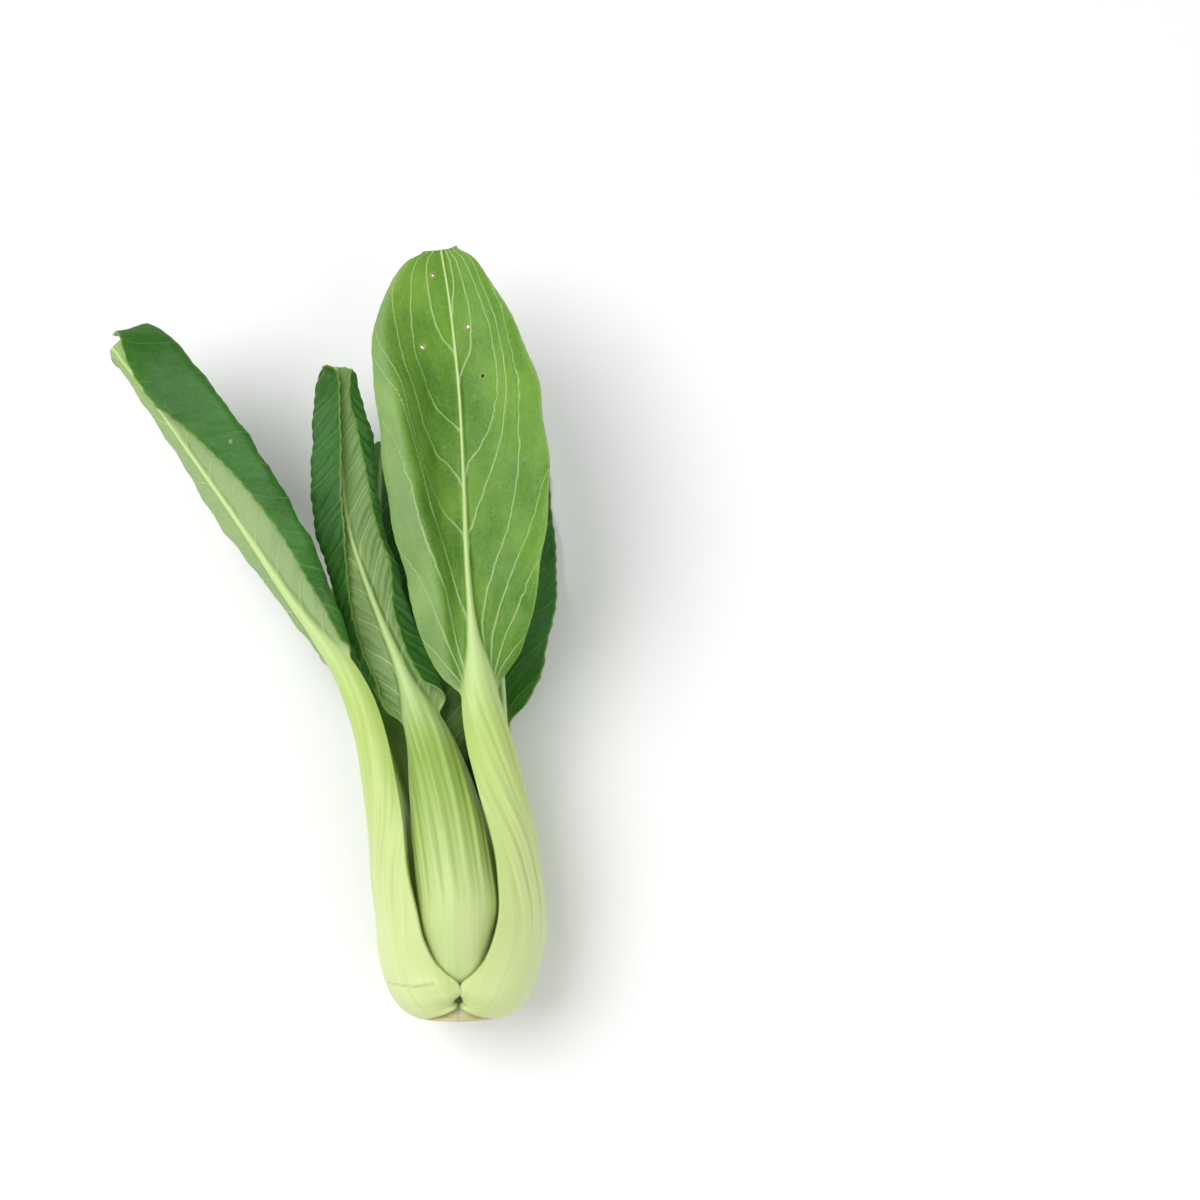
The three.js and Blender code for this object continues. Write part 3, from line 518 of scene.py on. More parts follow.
class Leaf:
    """The part's leaf, worked out on a fine grid."""

    def __init__(self, spec, looks):
        self.spec = spec
        self.looks = looks
        self.name = spec["name"]
        rise = [around(spec["angle"], radius, y) for radius, y in spec["rise"]]
        self.line, self.distance = smooth_line(rise + spec["free"])
        self.length = self.distance[-1]
        self.start = spec["start"]

    def frames(self, d):
        """The centre line's points, and the sheet's directions there, at distances d from the root."""
        point = np.stack([np.interp(d, self.distance, self.line[:, k]) for k in range(3)], -1)
        slopes = np.gradient(self.line, self.distance, axis=0)
        tangent = unit(np.stack([np.interp(d, self.distance, slopes[:, k]) for k in range(3)], -1))
        facing = np.radians(curve(self.spec["facing"], d))
        face = np.stack([np.sin(facing), np.zeros_like(facing), np.cos(facing)], -1)
        lean = smoothstep(d, self.start * 0.5, self.start * 1.15)[:, None]
        plane = unit(np.array([0, 1, 0]) * (1 - lean) + tangent * lean)
        across = unit(np.cross(plane, face))
        out = unit(np.cross(across, plane))
        normal = unit(np.cross(across, tangent))
        return point, across, out, normal

    def blade_share(self, d):
        return (d - self.start) / (self.length - self.start)

    def widths(self, d, side):
        return curve(self.spec["stalk"], d), curve(self.spec[side]["blade"], self.blade_share(d))

    def turn(self, d, side, offset):
        """How far the sheet has turned inwards at each offset, a row for each distance."""
        stalk, blade = (w[:, None] for w in self.widths(d, side))
        x = self.blade_share(d)
        total = np.radians(curve(self.spec["bend"], d))[:, None] * np.minimum(1, offset / stalk)
        for fold in self.spec[side]["folds"]:
            middle = curve(fold["at"], x)[:, None] * blade + stalk
            reach = curve(fold["spread"], x)[:, None] * blade / 2 + TINY
            tightest = 2 * reach / FOLD_RADIUS
            turned = np.clip(np.radians(curve(fold["turn"], x))[:, None], -tightest, tightest)
            total = total + turned * smoothstep(offset, middle - reach, middle + reach)
        return total

    def thickness(self, d, offset):
        middle = curve(self.spec["thick"], d)[:, None]
        on_blade = smoothstep(self.blade_share(d), -0.1, 0.05)[:, None]
        edge = STALK_EDGE + (BLADE_THICKNESS - STALK_EDGE) * on_blade
        x = np.minimum(1, offset / curve(self.spec["stalk"], d)[:, None])
        fullness = 0.35 + 0.85 * smoothstep(d, 1, 12)[:, None]
        return edge + np.maximum(0, middle - edge) * (1 - x * x) ** fullness

    def half(self, d, side, shares):
        """The inner face of one half: its points and offsets, a row for each distance."""
        point, across, out, normal = self.frames(d)
        stalk, blade = (w[:, None] for w in self.widths(d, side))
        whole = stalk + blade
        fine = (np.arange(CURL_STEPS) + 0.5) / CURL_STEPS
        turned = self.turn(d, side, fine[None, :] * whole)
        zero = np.zeros((len(d), 1))
        sideways = np.hstack([zero, np.cumsum(np.cos(turned), 1)]) * whole / CURL_STEPS
        inward = np.hstack([zero, np.cumsum(np.sin(turned), 1)]) * whole / CURL_STEPS
        even = np.linspace(0, 1, CURL_STEPS + 1)
        sideways = np.stack([np.interp(shares, even, row) for row in sideways])
        inward = np.stack([np.interp(shares, even, row) for row in inward])
        offset = shares[None, :] * whole
        turned = self.turn(d, side, offset)
        hand = 1 if side == "right" else -1
        rippled = np.maximum(0, offset - stalk) / (blade + TINY)
        phase = (2 * math.pi * d / RIPPLE_LENGTH + self.spec["angle"] * hand)[:, None]
        waves = np.sin(phase) + 0.6 * np.sin(phase * 0.57 + 1.3)
        wave = self.spec["ripple"] * rippled**2 * np.minimum(1, blade / 10) * waves
        base = point - normal * curve(self.spec["thick"], d)[:, None]
        across_by = (hand * (sideways + wave * np.sin(turned)))[..., None]
        out_by = (wave * np.cos(turned) - inward)[..., None]
        return base[:, None] + across[:, None] * across_by + out[:, None] * out_by, offset

    def shares(self, side, count):
        """Shares of a half's width for its columns, closest where the sheet folds and at its margin."""
        d = np.array([self.start + 0.45 * (self.length - self.start)])
        whole = sum(self.widths(d, side))[0]
        fine = np.linspace(0, 1, CURL_STEPS + 1)
        turned = self.turn(d, side, fine[None, :] * whole)[0]
        weight = np.diff(fine) + np.abs(np.diff(turned)) * 0.1 + 0.006 * (fine[1:] > 0.97)
        total = np.concatenate([[0], np.cumsum(weight)])
        return np.interp(np.linspace(0, total[-1], count + 1), total, fine)


def vein_share(keys, x):
    """Where a side vein is across the half blade, at shares x along it, straight on past its ends."""
    first, second, before, last = keys[0], keys[1], keys[-2], keys[-1]
    into = (second[1] - first[1]) / (second[0] - first[0])
    out = (last[1] - before[1]) / (last[0] - before[0])
    return curve(keys, x) + np.minimum(0, x - first[0]) * into + np.maximum(0, x - last[0]) * out


def vein_coordinate(veins, x, share):
    """A number that is whole on each side vein and even in between, and the veins' gap as a share."""
    places = [vein_share(keys, x) for keys in veins]
    last = len(places) - 1
    coordinate = last + np.clip((places[last] - share) / VEIN_SPACE, 0, 0.5)
    spacing = np.full(x.shape, VEIN_SPACE)
    for k in range(last):
        gap = np.maximum(places[k] - places[k + 1], 0.02)
        here = (share <= places[k]) & (share > places[k + 1])
        coordinate = np.where(here, k + (places[k] - share) / gap, coordinate)
        spacing = np.where(here, gap, spacing)
    beyond = share > places[0]
    coordinate = np.where(beyond, -np.clip((share - places[0]) / VEIN_SPACE, 0, 0.5), coordinate)
    return coordinate, np.where(beyond, VEIN_SPACE, spacing)


def lay_out(leaf):
    """The leaf's plain inner face and each point's place on the sheet, a row for each distance."""
    looks = leaf.looks
    d = leaf.length * np.linspace(0, 1, looks["rows"] + 1)
    d[-1] = leaf.length - TINY
    left_shares, right_shares = (leaf.shares(side, looks["columns"]) for side in ("left", "right"))
    left_points, left_offset = leaf.half(d, "left", left_shares)
    right_points, right_offset = leaf.half(d, "right", right_shares)
    g = SimpleNamespace(d=d)
    g.inner = np.concatenate([left_points[:, :0:-1], right_points], axis=1)
    g.offset = np.concatenate([-left_offset[:, :0:-1], right_offset], axis=1)
    whole = np.ones_like(g.offset)
    g.share = np.concatenate([left_shares[:0:-1], right_shares])[None, :] * whole
    g.hand = np.sign(g.offset)
    g.distance = d[:, None] * whole
    g.x = leaf.blade_share(g.distance)
    g.stalk = curve(leaf.spec["stalk"], d)[:, None] * whole
    left_blade, right_blade = (leaf.widths(d, side)[1][:, None] for side in ("left", "right"))
    g.blade = np.where(g.hand < 0, left_blade, right_blade)
    g.reach = np.abs(g.offset)
    g.on_blade = smoothstep(g.reach / g.stalk, 0.8, 1.5) * smoothstep(g.x, -0.01, 0.06)
    return g


def find_veins(leaf, g):
    """Adds each point's place among the side veins, the gap between them and the nearest one's height."""
    width = g.blade + g.stalk * (1 - VEIN_ROOT)
    into_blade = np.clip((g.reach - g.stalk * VEIN_ROOT) / width, 0, 1)
    own_veins = leaf.name == "leaf_front_right"
    left_veins = FRONT_RIGHT_VEINS["left"] if own_veins else COMMON_VEINS
    right_veins = FRONT_RIGHT_VEINS["right"] if own_veins else COMMON_VEINS
    left_q, left_gap = vein_coordinate(left_veins, g.x, into_blade)
    right_q, right_gap = vein_coordinate(right_veins, g.x - 0.02, into_blade)
    g.q = np.where(g.hand < 0, left_q, right_q)
    g.gap = np.where(g.hand < 0, left_gap, right_gap) * width
    g.phase = (g.q + 0.5) % 1 - 0.5
    g.vein_size = 1 - 0.55 * into_blade - 0.15 * np.clip(g.x, 0, 1)
    nearness = np.exp(-((g.phase * g.gap / (VEIN_BREADTH * g.vein_size)) ** 2))
    g.vein = nearness * g.on_blade * g.vein_size


def rolls(leaf, g):
    """Gentle rolls of the blade that run every way, in seeded random directions."""
    rng = np.random.default_rng(len(leaf.name) * 7 + leaf.looks["rows"])
    roll = np.zeros_like(g.offset)
    for wavelength, height in ROLLS:
        for _ in range(ROLLS_EACH):
            heading = rng.uniform(0, math.pi)
            start = rng.uniform(0, 2 * math.pi)
            along = g.offset * math.cos(heading) + g.distance * math.sin(heading)
            roll += height * np.sin(2 * math.pi * along / wavelength + start) / ROLLS_EACH
    return roll


def bulges(leaf, g):
    """How far the blade stands out between its side veins, between its small veins and in its rolls."""
    looks = leaf.looks
    fullness = np.minimum(g.gap / FULL_BULGE_GAP, 1)
    quilted = looks["quilt"] * ((0.5 - 0.5 * np.cos(2 * math.pi * g.phase)) * fullness - 0.5)
    puckered = looks["pucker"] * (0.5 - 0.5 * np.cos(6 * math.pi * g.phase)) * fullness
    lift = g.on_blade * (quilted + puckered + rolls(leaf, g) * 0.8)
    return lift * (smoothstep(1 - g.share, 0, 0.06) * 0.7 + 0.3)


def teeth(leaf, g):
    """How far the blade's margin stands out in uneven saw teeth."""
    tooth = (g.distance / TOOTH_LENGTH + g.hand * 0.3 + 0.35 * np.sin(g.distance / 7)) % 1
    tooth = np.where(tooth < 0.7, tooth / 0.7, (1 - tooth) / 0.3) * leaf.looks["teeth"]
    return tooth * smoothstep(g.x, 0.02, 0.12) * smoothstep(g.share, 0.95, 1)


def stalk_ribs(leaf, g):
    """How far the ribs along the stalk's outer face stand out."""
    wave = np.cos(2 * math.pi * g.offset / RIB_SPACING + 0.6 + 0.6 * np.sin(g.distance / 23))
    wave += 0.5 * np.cos(2 * math.pi * g.offset / FINE_RIB_SPACING + g.distance / 40)
    ribs = wave * smoothstep(g.distance, 16, 44) * (1 - smoothstep(g.reach / g.stalk, 0.6, 1))
    return ribs * (1 - smoothstep(g.x, -0.05, 0.12)) * leaf.looks["ribs"]


def paleness(leaf, g):
    """How pale the outer face is: its own paleness in all, plus a painted highlight beyond the left half's
    last fold, where that strip faces the light.
    """
    pale = leaf.looks["pale"] * np.ones_like(g.offset)
    if "painted_highlight_beyond_fold" in leaf.looks:
        ridge = curve(leaf.spec["left"]["folds"][-1]["at"], g.x) * g.blade + g.stalk
        pale += leaf.looks["painted_highlight_beyond_fold"] * smoothstep(-g.offset, ridge - 1, ridge + 1.5)
    return pale


def leaf_grid(leaf):
    """The leaf's two faces as grids of points, and what its material reads, as grids too."""
    g = lay_out(leaf)
    find_veins(leaf, g)
    inner = g.inner
    normal = unit(np.cross(np.gradient(inner, axis=1), np.gradient(inner, axis=0)))
    inner = inner + normal * bulges(leaf, g)[..., None]
    sideways = unit(np.gradient(inner, axis=1)) * g.hand[..., None]
    inner = inner + sideways * teeth(leaf, g)[..., None]
    ribs = stalk_ribs(leaf, g)
    thick = leaf.thickness(g.d, g.reach)
    thin = 1 - 0.55 * smoothstep(g.share, 0.94, 1) * smoothstep(g.x, 0, 0.1)
    outer = inner + normal * (thick * thin + ribs + VEIN_HEIGHT * g.vein)[..., None]
    channel = np.exp(-((g.reach / (g.stalk * 0.7 + 0.3)) ** 2)) * smoothstep(g.x, 0.02, 0.2)
    groove = VEIN_GROOVE * g.vein + MIDRIB_GROOVE * channel
    inner = inner + normal * np.minimum(groove, thick * 0.4)[..., None]
    outer[..., 2] = np.maximum(outer[..., 2], 0)
    inner[..., 2] = np.maximum(inner[..., 2], INNER_FLOOR)

    # The midrib's colour narrows along the blade, and beside the bare stalk no margin is near
    midrib = g.stalk * (1 - 0.4 * smoothstep(g.x, 0, 0.15))
    green_part = smoothstep(g.reach / midrib, 0.75, 1.25) * smoothstep(g.x, -0.03, 0.05)
    to_margin = g.blade * (1 - g.share) + 10 * (1 - smoothstep(g.x, 0, 0.05))
    green = leaf.looks["green"] * np.ones_like(ribs)
    fields = {
        "sheet": np.stack([g.offset, g.distance, g.x], -1),
        "side_veins": np.stack([g.q, g.gap, g.vein_size], -1),
        "stalk_look": np.stack([ribs, green, paleness(leaf, g)], -1),
        "parts": np.stack([green_part, to_margin, g.reach / g.stalk], -1),
    }
    return inner, outer, fields


def distance_to_line(place, start, end):
    """How far each place on the sheet is from a straight piece of a crack."""
    step = np.subtract(end, start)
    along = np.clip(((place - start) @ step) / (step @ step), 0, 1)
    return np.linalg.norm(place - start - along[..., None] * step, axis=-1)


def round_rim(face, row, column, radius):
    """Moves the eight points round one to a circle about it."""
    centre = face[row, column].copy()
    for row_step in (-1, 0, 1):
        for column_step in (-1, 0, 1):
            if row_step or column_step:
                spot = (row + row_step, column + column_step)
                away = face[spot] - centre
                face[spot] = centre + away / np.linalg.norm(away) * radius
    return centre


def punch_holes(leaf, inner, outer, fields):
    """Which squares of the grid are kept, and how far each point is from a hole, spot or crack."""
    kept = np.ones((inner.shape[0] - 1, inner.shape[1] - 1), bool)
    hurt = np.full(inner.shape[:2], UNHURT)
    sheet = fields["sheet"]
    for share, offset, radius in leaf.looks.get("spots", []):
        away = np.hypot((sheet[..., 2] - share) * (leaf.length - leaf.start), sheet[..., 0] - offset)
        hurt = np.minimum(hurt, away - radius)
    for line in leaf.looks.get("cracks", []):
        for start, end in zip(line, line[1:]):
            hurt = np.minimum(hurt, distance_to_line(sheet[..., :2], start, end) + CRACK_FAINTNESS)
    for share, offset, radius in leaf.looks.get("holes", []):
        away = (sheet[..., 2] - share) ** 2 * ROUGH_BLADE_LENGTH**2 + (sheet[..., 0] - offset) ** 2
        row, column = np.unravel_index(np.argmin(away), away.shape)
        kept[row - 1:row + 1, column - 1:column + 1] = False
        centre = round_rim(inner, row, column, radius)
        round_rim(outer, row, column, radius)
        hurt = np.minimum(hurt, np.linalg.norm(inner - centre, axis=-1) - radius)
    return kept, hurt


def sheet_faces(kept):
    """Squares of a closed sheet: both faces where they are kept, and a wall along every open side."""
    rows, columns = kept.shape
    number = np.arange((rows + 1) * (columns + 1)).reshape(rows + 1, columns + 1)
    back = number.size
    a, b, c, d = number[:-1, :-1], number[:-1, 1:], number[1:, 1:], number[1:, :-1]
    outer = np.stack([a, b, c, d], -1)[kept]
    inner = np.stack([d, c, b, a], -1)[kept] + back
    padded = np.pad(kept, 1)
    sides = [
        (padded[:-2, 1:-1], a, b),
        (padded[1:-1, 2:], b, c),
        (padded[2:, 1:-1], c, d),
        (padded[1:-1, :-2], d, a),
    ]
    walls = []
    for neighbour, first, second in sides:
        open_side = kept & ~neighbour
        p, q = first[open_side], second[open_side]
        walls.append(np.stack([q, p, p + back, q + back], -1))
    return np.concatenate([outer, inner, *walls]), back


def add_field(mesh, name, values):
    kind, key = ("FLOAT_VECTOR", "vector") if values.ndim == 2 else ("FLOAT", "value")
    attribute = mesh.attributes.new(name, kind, "POINT")
    attribute.data.foreach_set(key, values.astype(np.float32).ravel())


def make_mesh(name, points, faces):
    """A mesh object from points in millimetres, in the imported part's frame, smooth shaded."""
    mesh = bpy.data.meshes.new(name)
    place = (lean_cut(points) - np.array([REST_X, REST_Y, 0])) * METRE
    mesh.vertices.add(len(place))
    mesh.vertices.foreach_set("co", place.astype(np.float32).ravel())
    mesh.loops.add(faces.size)
    mesh.loops.foreach_set("vertex_index", faces.astype(np.int32).ravel())
    mesh.polygons.add(len(faces))
    mesh.polygons.foreach_set("loop_start", np.arange(0, faces.size, faces.shape[1], dtype=np.int32))
    mesh.polygons.foreach_set("use_smooth", np.ones(len(faces), bool))
    mesh.update(calc_edges=True)
    piece = bpy.data.objects.new(name, mesh)
    bpy.context.scene.collection.objects.link(piece)
    return piece


def leaf_piece(spec):
    leaf = Leaf(spec, LOOKS[spec["name"]])
    inner, outer, fields = leaf_grid(leaf)
    kept, hurt = punch_holes(leaf, inner, outer, fields)
    faces, count = sheet_faces(kept)
    used = np.unique(faces)
    slim = np.zeros(2 * count, int)
    slim[used] = np.arange(len(used))
    points = np.concatenate([outer.reshape(-1, 3), inner.reshape(-1, 3)])[used]
    piece = make_mesh(spec["name"].replace("leaf", "fine_leaf"), points, slim[faces])
    for name, field in fields.items():
        flat = field.reshape(-1, 3)
        add_field(piece.data, name, np.concatenate([flat, flat])[used])
    flat = hurt.ravel()
    add_field(piece.data, "hurt", np.concatenate([flat, flat])[used])
    add_field(piece.data, "outside", np.concatenate([np.ones(count), np.zeros(count)])[used])
    return piece


def colour(hexadecimal):
    """A linear colour from the hexadecimal form of the sRGB one."""
    parts = [int(hexadecimal[k:k + 2], 16) / 255 for k in (0, 2, 4)]
    return (*[p / 12.92 if p <= 0.04045 else ((p + 0.055) / 1.055) ** 2.4 for p in parts], 1)


class Nodes:
    """Short calls for building a material's node tree."""

    def __init__(self, material):
        self.tree = material.node_tree
        self.tree.nodes.clear()

    def add(self, kind, inputs, **settings):
        """A node whose inputs, by name or number, are linked to sockets or set to values."""
        node = self.tree.nodes.new(kind)
        for name, value in settings.items():
            setattr(node, name, value)
        for name, value in inputs.items():
            if isinstance(value, bpy.types.NodeSocket):
                self.tree.links.new(value, node.inputs[name])
            else:
                node.inputs[name].default_value = value
        return node

    def field(self, name):
        """A mesh's field of vectors, whole and as its three parts."""
        vector = self.add("ShaderNodeAttribute", {}, attribute_name=name).outputs["Vector"]
        return vector, self.add("ShaderNodeSeparateXYZ", {"Vector": vector}).outputs

    def number(self, name):
        """A mesh's field of single numbers."""
        return self.add("ShaderNodeAttribute", {}, attribute_name=name).outputs["Fac"]

    def math(self, operation, a, b=0.0, c=0.0):
        return self.add("ShaderNodeMath", {0: a, 1: b, 2: c}, operation=operation).outputs[0]

    def times(self, a, b):
        return self.math("MULTIPLY", a, b)

    def plus(self, a, b):
        return self.math("ADD", a, b)

    def times_plus(self, a, b, c):
        return self.math("MULTIPLY_ADD", a, b, c)

    def from_whole(self, value):
        """How far a value is from the nearest whole number."""
        return self.math("ABSOLUTE", self.math("SUBTRACT", value, self.math("ROUND", value)))

    def ramp(self, value, low, high, to_low=0.0, to_high=1.0):
        spans = {"Value": value, "From Min": low, "From Max": high, "To Min": to_low, "To Max": to_high}
        return self.add("ShaderNodeMapRange", spans, interpolation_type="SMOOTHSTEP").outputs[0]

    def mix(self, factor, a, b):
        """A mix of two colours, whose sockets come after those for numbers and vectors."""
        return self.add("ShaderNodeMix", {0: factor, 6: a, 7: b}, data_type="RGBA").outputs[2]

    def scaled(self, vector, scale):
        return self.add("ShaderNodeMapping", {"Vector": vector, "Scale": scale}).outputs[0]

    def noise(self, vector, scale, detail=3.0, rough=0.5):
        inputs = {"Vector": vector, "Scale": scale, "Detail": detail, "Roughness": rough}
        return self.add("ShaderNodeTexNoise", inputs).outputs["Fac"]

    def net(self, vector, scale):
        """How far a point is from the lines of a net."""
        inputs = {"Vector": vector, "Scale": scale}
        return self.add("ShaderNodeTexVoronoi", inputs, feature="DISTANCE_TO_EDGE").outputs["Distance"]


def new_material(name):
    material = bpy.data.materials.new(name)
    material.use_nodes = True
    return material, Nodes(material)


def vein_lines(nodes, vector, veins, on_blade):
    """A thin line at each whole number of the vein coordinate, and a finer one at each third of it."""
    wobble = nodes.noise(nodes.scaled(vector, (1, 1, 0)), 0.16, 2.0)
    wobble = nodes.times_plus(wobble, 0.22, -0.11)
    coordinate, gap, size = veins[0], veins[1], veins[2]
    q = nodes.plus(coordinate, wobble)
    away = nodes.times(nodes.from_whole(q), gap)
    width = nodes.times_plus(size, 0.5, 0.05)
    side_vein = nodes.ramp(away, width, nodes.times(width, 0.3))
    side_vein = nodes.times(side_vein, on_blade)
    thirds = nodes.times_plus(wobble, 2.0, nodes.times(q, 3.0))
    away = nodes.times(nodes.from_whole(thirds), nodes.math("DIVIDE", gap, 3.0))
    small_vein = nodes.times(nodes.ramp(away, 0.3, 0.06), on_blade)
    return side_vein, small_vein


def vein_net(nodes, vector, on_blade):
    """Two nets of the smallest veins, a coarse one and a fine one, warped so that no line is straight."""
    drift = nodes.add("ShaderNodeTexNoise", {"Vector": vector, "Scale": 0.3, "Detail": 2.0})
    terms = {0: drift.outputs["Color"], 1: (2.4, 2.4, 0), 2: nodes.scaled(vector, (1, 0.8, 0))}
    warped = nodes.add("ShaderNodeVectorMath", terms, operation="MULTIPLY_ADD").outputs[0]
    coarse = nodes.ramp(nodes.net(warped, 0.22), 0.05, 0.0)
    fine = nodes.ramp(nodes.net(warped, 0.62), 0.09, 0.0)
    coarse = nodes.times(coarse, 0.25)
    fine = nodes.times(fine, 0.3)
    return nodes.times(nodes.math("MAXIMUM", coarse, fine), on_blade)


def blade_colour(nodes, tint, vector, outside, pale):
    """The blade's green in soft patches, darker on the inner face and paler on the outer one."""
    patchy = nodes.noise(nodes.scaled(vector, (1, 0.6, 0)), 0.05, 3.0, 0.55)
    patchy = nodes.ramp(patchy, 0.15, 0.85)
    above = nodes.mix(patchy, tint["above_dark"], tint["above_light"])
    below = nodes.mix(patchy, tint["below_dark"], tint["below_light"])
    # pale holds the outer face's own paleness and, on the front right leaf, a painted highlight beyond the
    # left fold
    below = nodes.mix(pale, below, tint["below_pale"])
    return nodes.mix(outside, above, below)


def stalk_colour(nodes, tint, distance, across, ribs, green, streak):
    """The stalk is palest low on the bulb, and greener further up, at its edges and between its ribs.
    A green look darkens it more: partly the leaf's own greener colour, partly painted shade on leaves deeper
    in the head.
    """
    upper = nodes.ramp(distance, 20.0, 105.0)
    stalk = nodes.mix(upper, tint["stalk_low"], tint["stalk_high"])
    # Painted shade together with the leaf's own greener colour: a green look makes the stalk and its edges
    # darker on leaves deeper in the head
    greener = nodes.times(green, nodes.ramp(distance, 15.0, 80.0, 0.25, 0.85))
    stalk = nodes.mix(greener, stalk, tint["groove"])
    edge = nodes.times_plus(green, 0.45, 0.35)
    edge = nodes.times(edge, nodes.ramp(across, 0.35, 1.0))
    stalk = nodes.mix(edge, stalk, tint["stalk_edge"])
    stalk = nodes.mix(nodes.ramp(ribs, 0.0, -0.25, 0.0, 0.5), stalk, tint["groove"])
    stalk = nodes.mix(nodes.ramp(streak, 0.48, 0.26, 0.0, 0.3), stalk, tint["groove"])
    return nodes.mix(nodes.ramp(streak, 0.56, 0.78, 0.0, 0.45), stalk, tint["streak"])


def surface_bump(nodes, vector, outside, on_blade, vein_height, streak):
    """Veins that stand out on the outer face and sink into the inner one, a fine grain, and streaks."""
    facing = nodes.times_plus(outside, 1.8, -0.8)
    height = nodes.times(vein_height, facing)
    grain = nodes.noise(nodes.scaled(vector, (1, 1, 0)), 2.2, 3.0, 0.6)
    height = nodes.plus(height, nodes.times(grain, 0.12))
    on_stalk = nodes.math("SUBTRACT", 1.0, on_blade)
    streaks = nodes.times(nodes.times(streak, on_stalk), 0.7)
    height = nodes.plus(height, streaks)
    return nodes.add("ShaderNodeBump", {"Height": height, "Strength": 0.55, "Distance": 0.0004}).outputs[0]


def leaf_material(name, codes, through):
    """Pale ribbed stalk, green blade, paler below, with a midrib, side veins and nets of small veins."""
    material, nodes = new_material(name)
    tint = {part: colour(code) for part, code in codes.items()}
    vector, sheet = nodes.field("sheet")
    _, veins = nodes.field("side_veins")
    _, parts = nodes.field("parts")
    _, looks = nodes.field("stalk_look")
    outside = nodes.number("outside")
    hurt = nodes.number("hurt")
    distance, x = sheet[1], sheet[2]
    on_blade, to_margin, across = parts[0], parts[1], parts[2]
    ribs, green, pale = looks[0], looks[1], looks[2]

    side_vein, small_vein = vein_lines(nodes, vector, veins, on_blade)
    faintness = nodes.times_plus(outside, -0.38, 0.5)
    small_vein = nodes.times(small_vein, faintness)
    net = nodes.math("MAXIMUM", vein_net(nodes, vector, on_blade), small_vein)

    vein_colour = nodes.mix(outside, tint["vein_above"], tint["vein_below"])
    blade = blade_colour(nodes, tint, vector, outside, pale)
    blade = nodes.mix(nodes.times(net, 0.5), blade, vein_colour)
    clearness = nodes.times_plus(outside, 0.4, 0.5)
    blade = nodes.mix(nodes.times(side_vein, clearness), blade, vein_colour)
    rim = nodes.times(nodes.ramp(to_margin, 0.55, 0.1), 0.6)
    blade = nodes.mix(rim, blade, tint["rim"])

    streak = nodes.noise(nodes.scaled(vector, (1.1, 0.022, 0)), 1.0, 5.0, 0.6)
    stalk = stalk_colour(nodes, tint, distance, across, ribs, green, streak)
    stalk = nodes.mix(nodes.ramp(x, -0.12, 0.1, 0.0, 0.85), stalk, vein_colour)
    body = nodes.mix(on_blade, stalk, blade)
    scar = nodes.times(nodes.ramp(hurt, 0.8, 0.1), 0.7)
    body = nodes.mix(scar, body, tint["scar"])

    vein_height = nodes.times(side_vein, 0.5)
    vein_height = nodes.plus(vein_height, nodes.times(net, 0.35))
    bump = surface_bump(nodes, vector, outside, on_blade, vein_height, streak)
    surface = {
        "Base Color": body,
        "Roughness": nodes.times_plus(on_blade, 0.1, 0.38),
        "Normal": bump,
        "Specular IOR Level": 0.38,
        "Subsurface Weight": 0.12,
        "Subsurface Scale": 0.003,
        "Subsurface Radius": (0.9, 1.0, 0.35),
    }
    shader = nodes.add("ShaderNodeBsdfPrincipled", surface)

    # Light that comes through the blade, paler at the veins and the stalk
    blade_glow = nodes.mix(nodes.math("MAXIMUM", side_vein, net), colour("a4d51f"), colour("cfe58a"))
    glow = nodes.mix(on_blade, colour("d4e77a"), blade_glow)
    glowing = nodes.add("ShaderNodeBsdfTranslucent", {"Color": glow, "Normal": bump})
    terms = {0: nodes.times(on_blade, through), 1: shader.outputs[0], 2: glowing.outputs[0]}
    both = nodes.add("ShaderNodeMixShader", terms)
    nodes.add("ShaderNodeOutputMaterial", {"Surface": both.outputs[0]})
    return material


def stem_material():
    """Cream cut tissue with a faint green ring and a buff rim, on the sides too."""
    material, nodes = new_material("cut_stem")
    vector, cut = nodes.field("cut")
    radius = cut[0]
    mottled = nodes.noise(vector, 0.35, 5.0, 0.65)
    flesh = nodes.mix(mottled, colour("e6e0cc"), colour("cfc6a6"))
    from_ring = nodes.math("ABSOLUTE", nodes.math("SUBTRACT", radius, STEM_RING_RADIUS))
    flesh = nodes.mix(nodes.ramp(from_ring, 1.1, 0.0, 0.0, 0.45), flesh, colour("c3cc97"))
    edge = nodes.ramp(nodes.times_plus(mottled, 1.4, radius), 11.0, 12.6)
    flesh = nodes.mix(edge, flesh, colour("c2b684"))
    speck = nodes.noise(vector, 2.0, 3.0, 0.6)
    bump = nodes.add("ShaderNodeBump", {"Height": speck, "Strength": 0.5, "Distance": 0.0005})
    surface = {
        "Base Color": flesh,
        "Roughness": 0.62,
        "Normal": bump.outputs[0],
        "Subsurface Weight": 0.12,
        "Subsurface Scale": 0.003,
    }
    shader = nodes.add("ShaderNodeBsdfPrincipled", surface)
    nodes.add("ShaderNodeOutputMaterial", {"Surface": shader.outputs[0]})
    return material


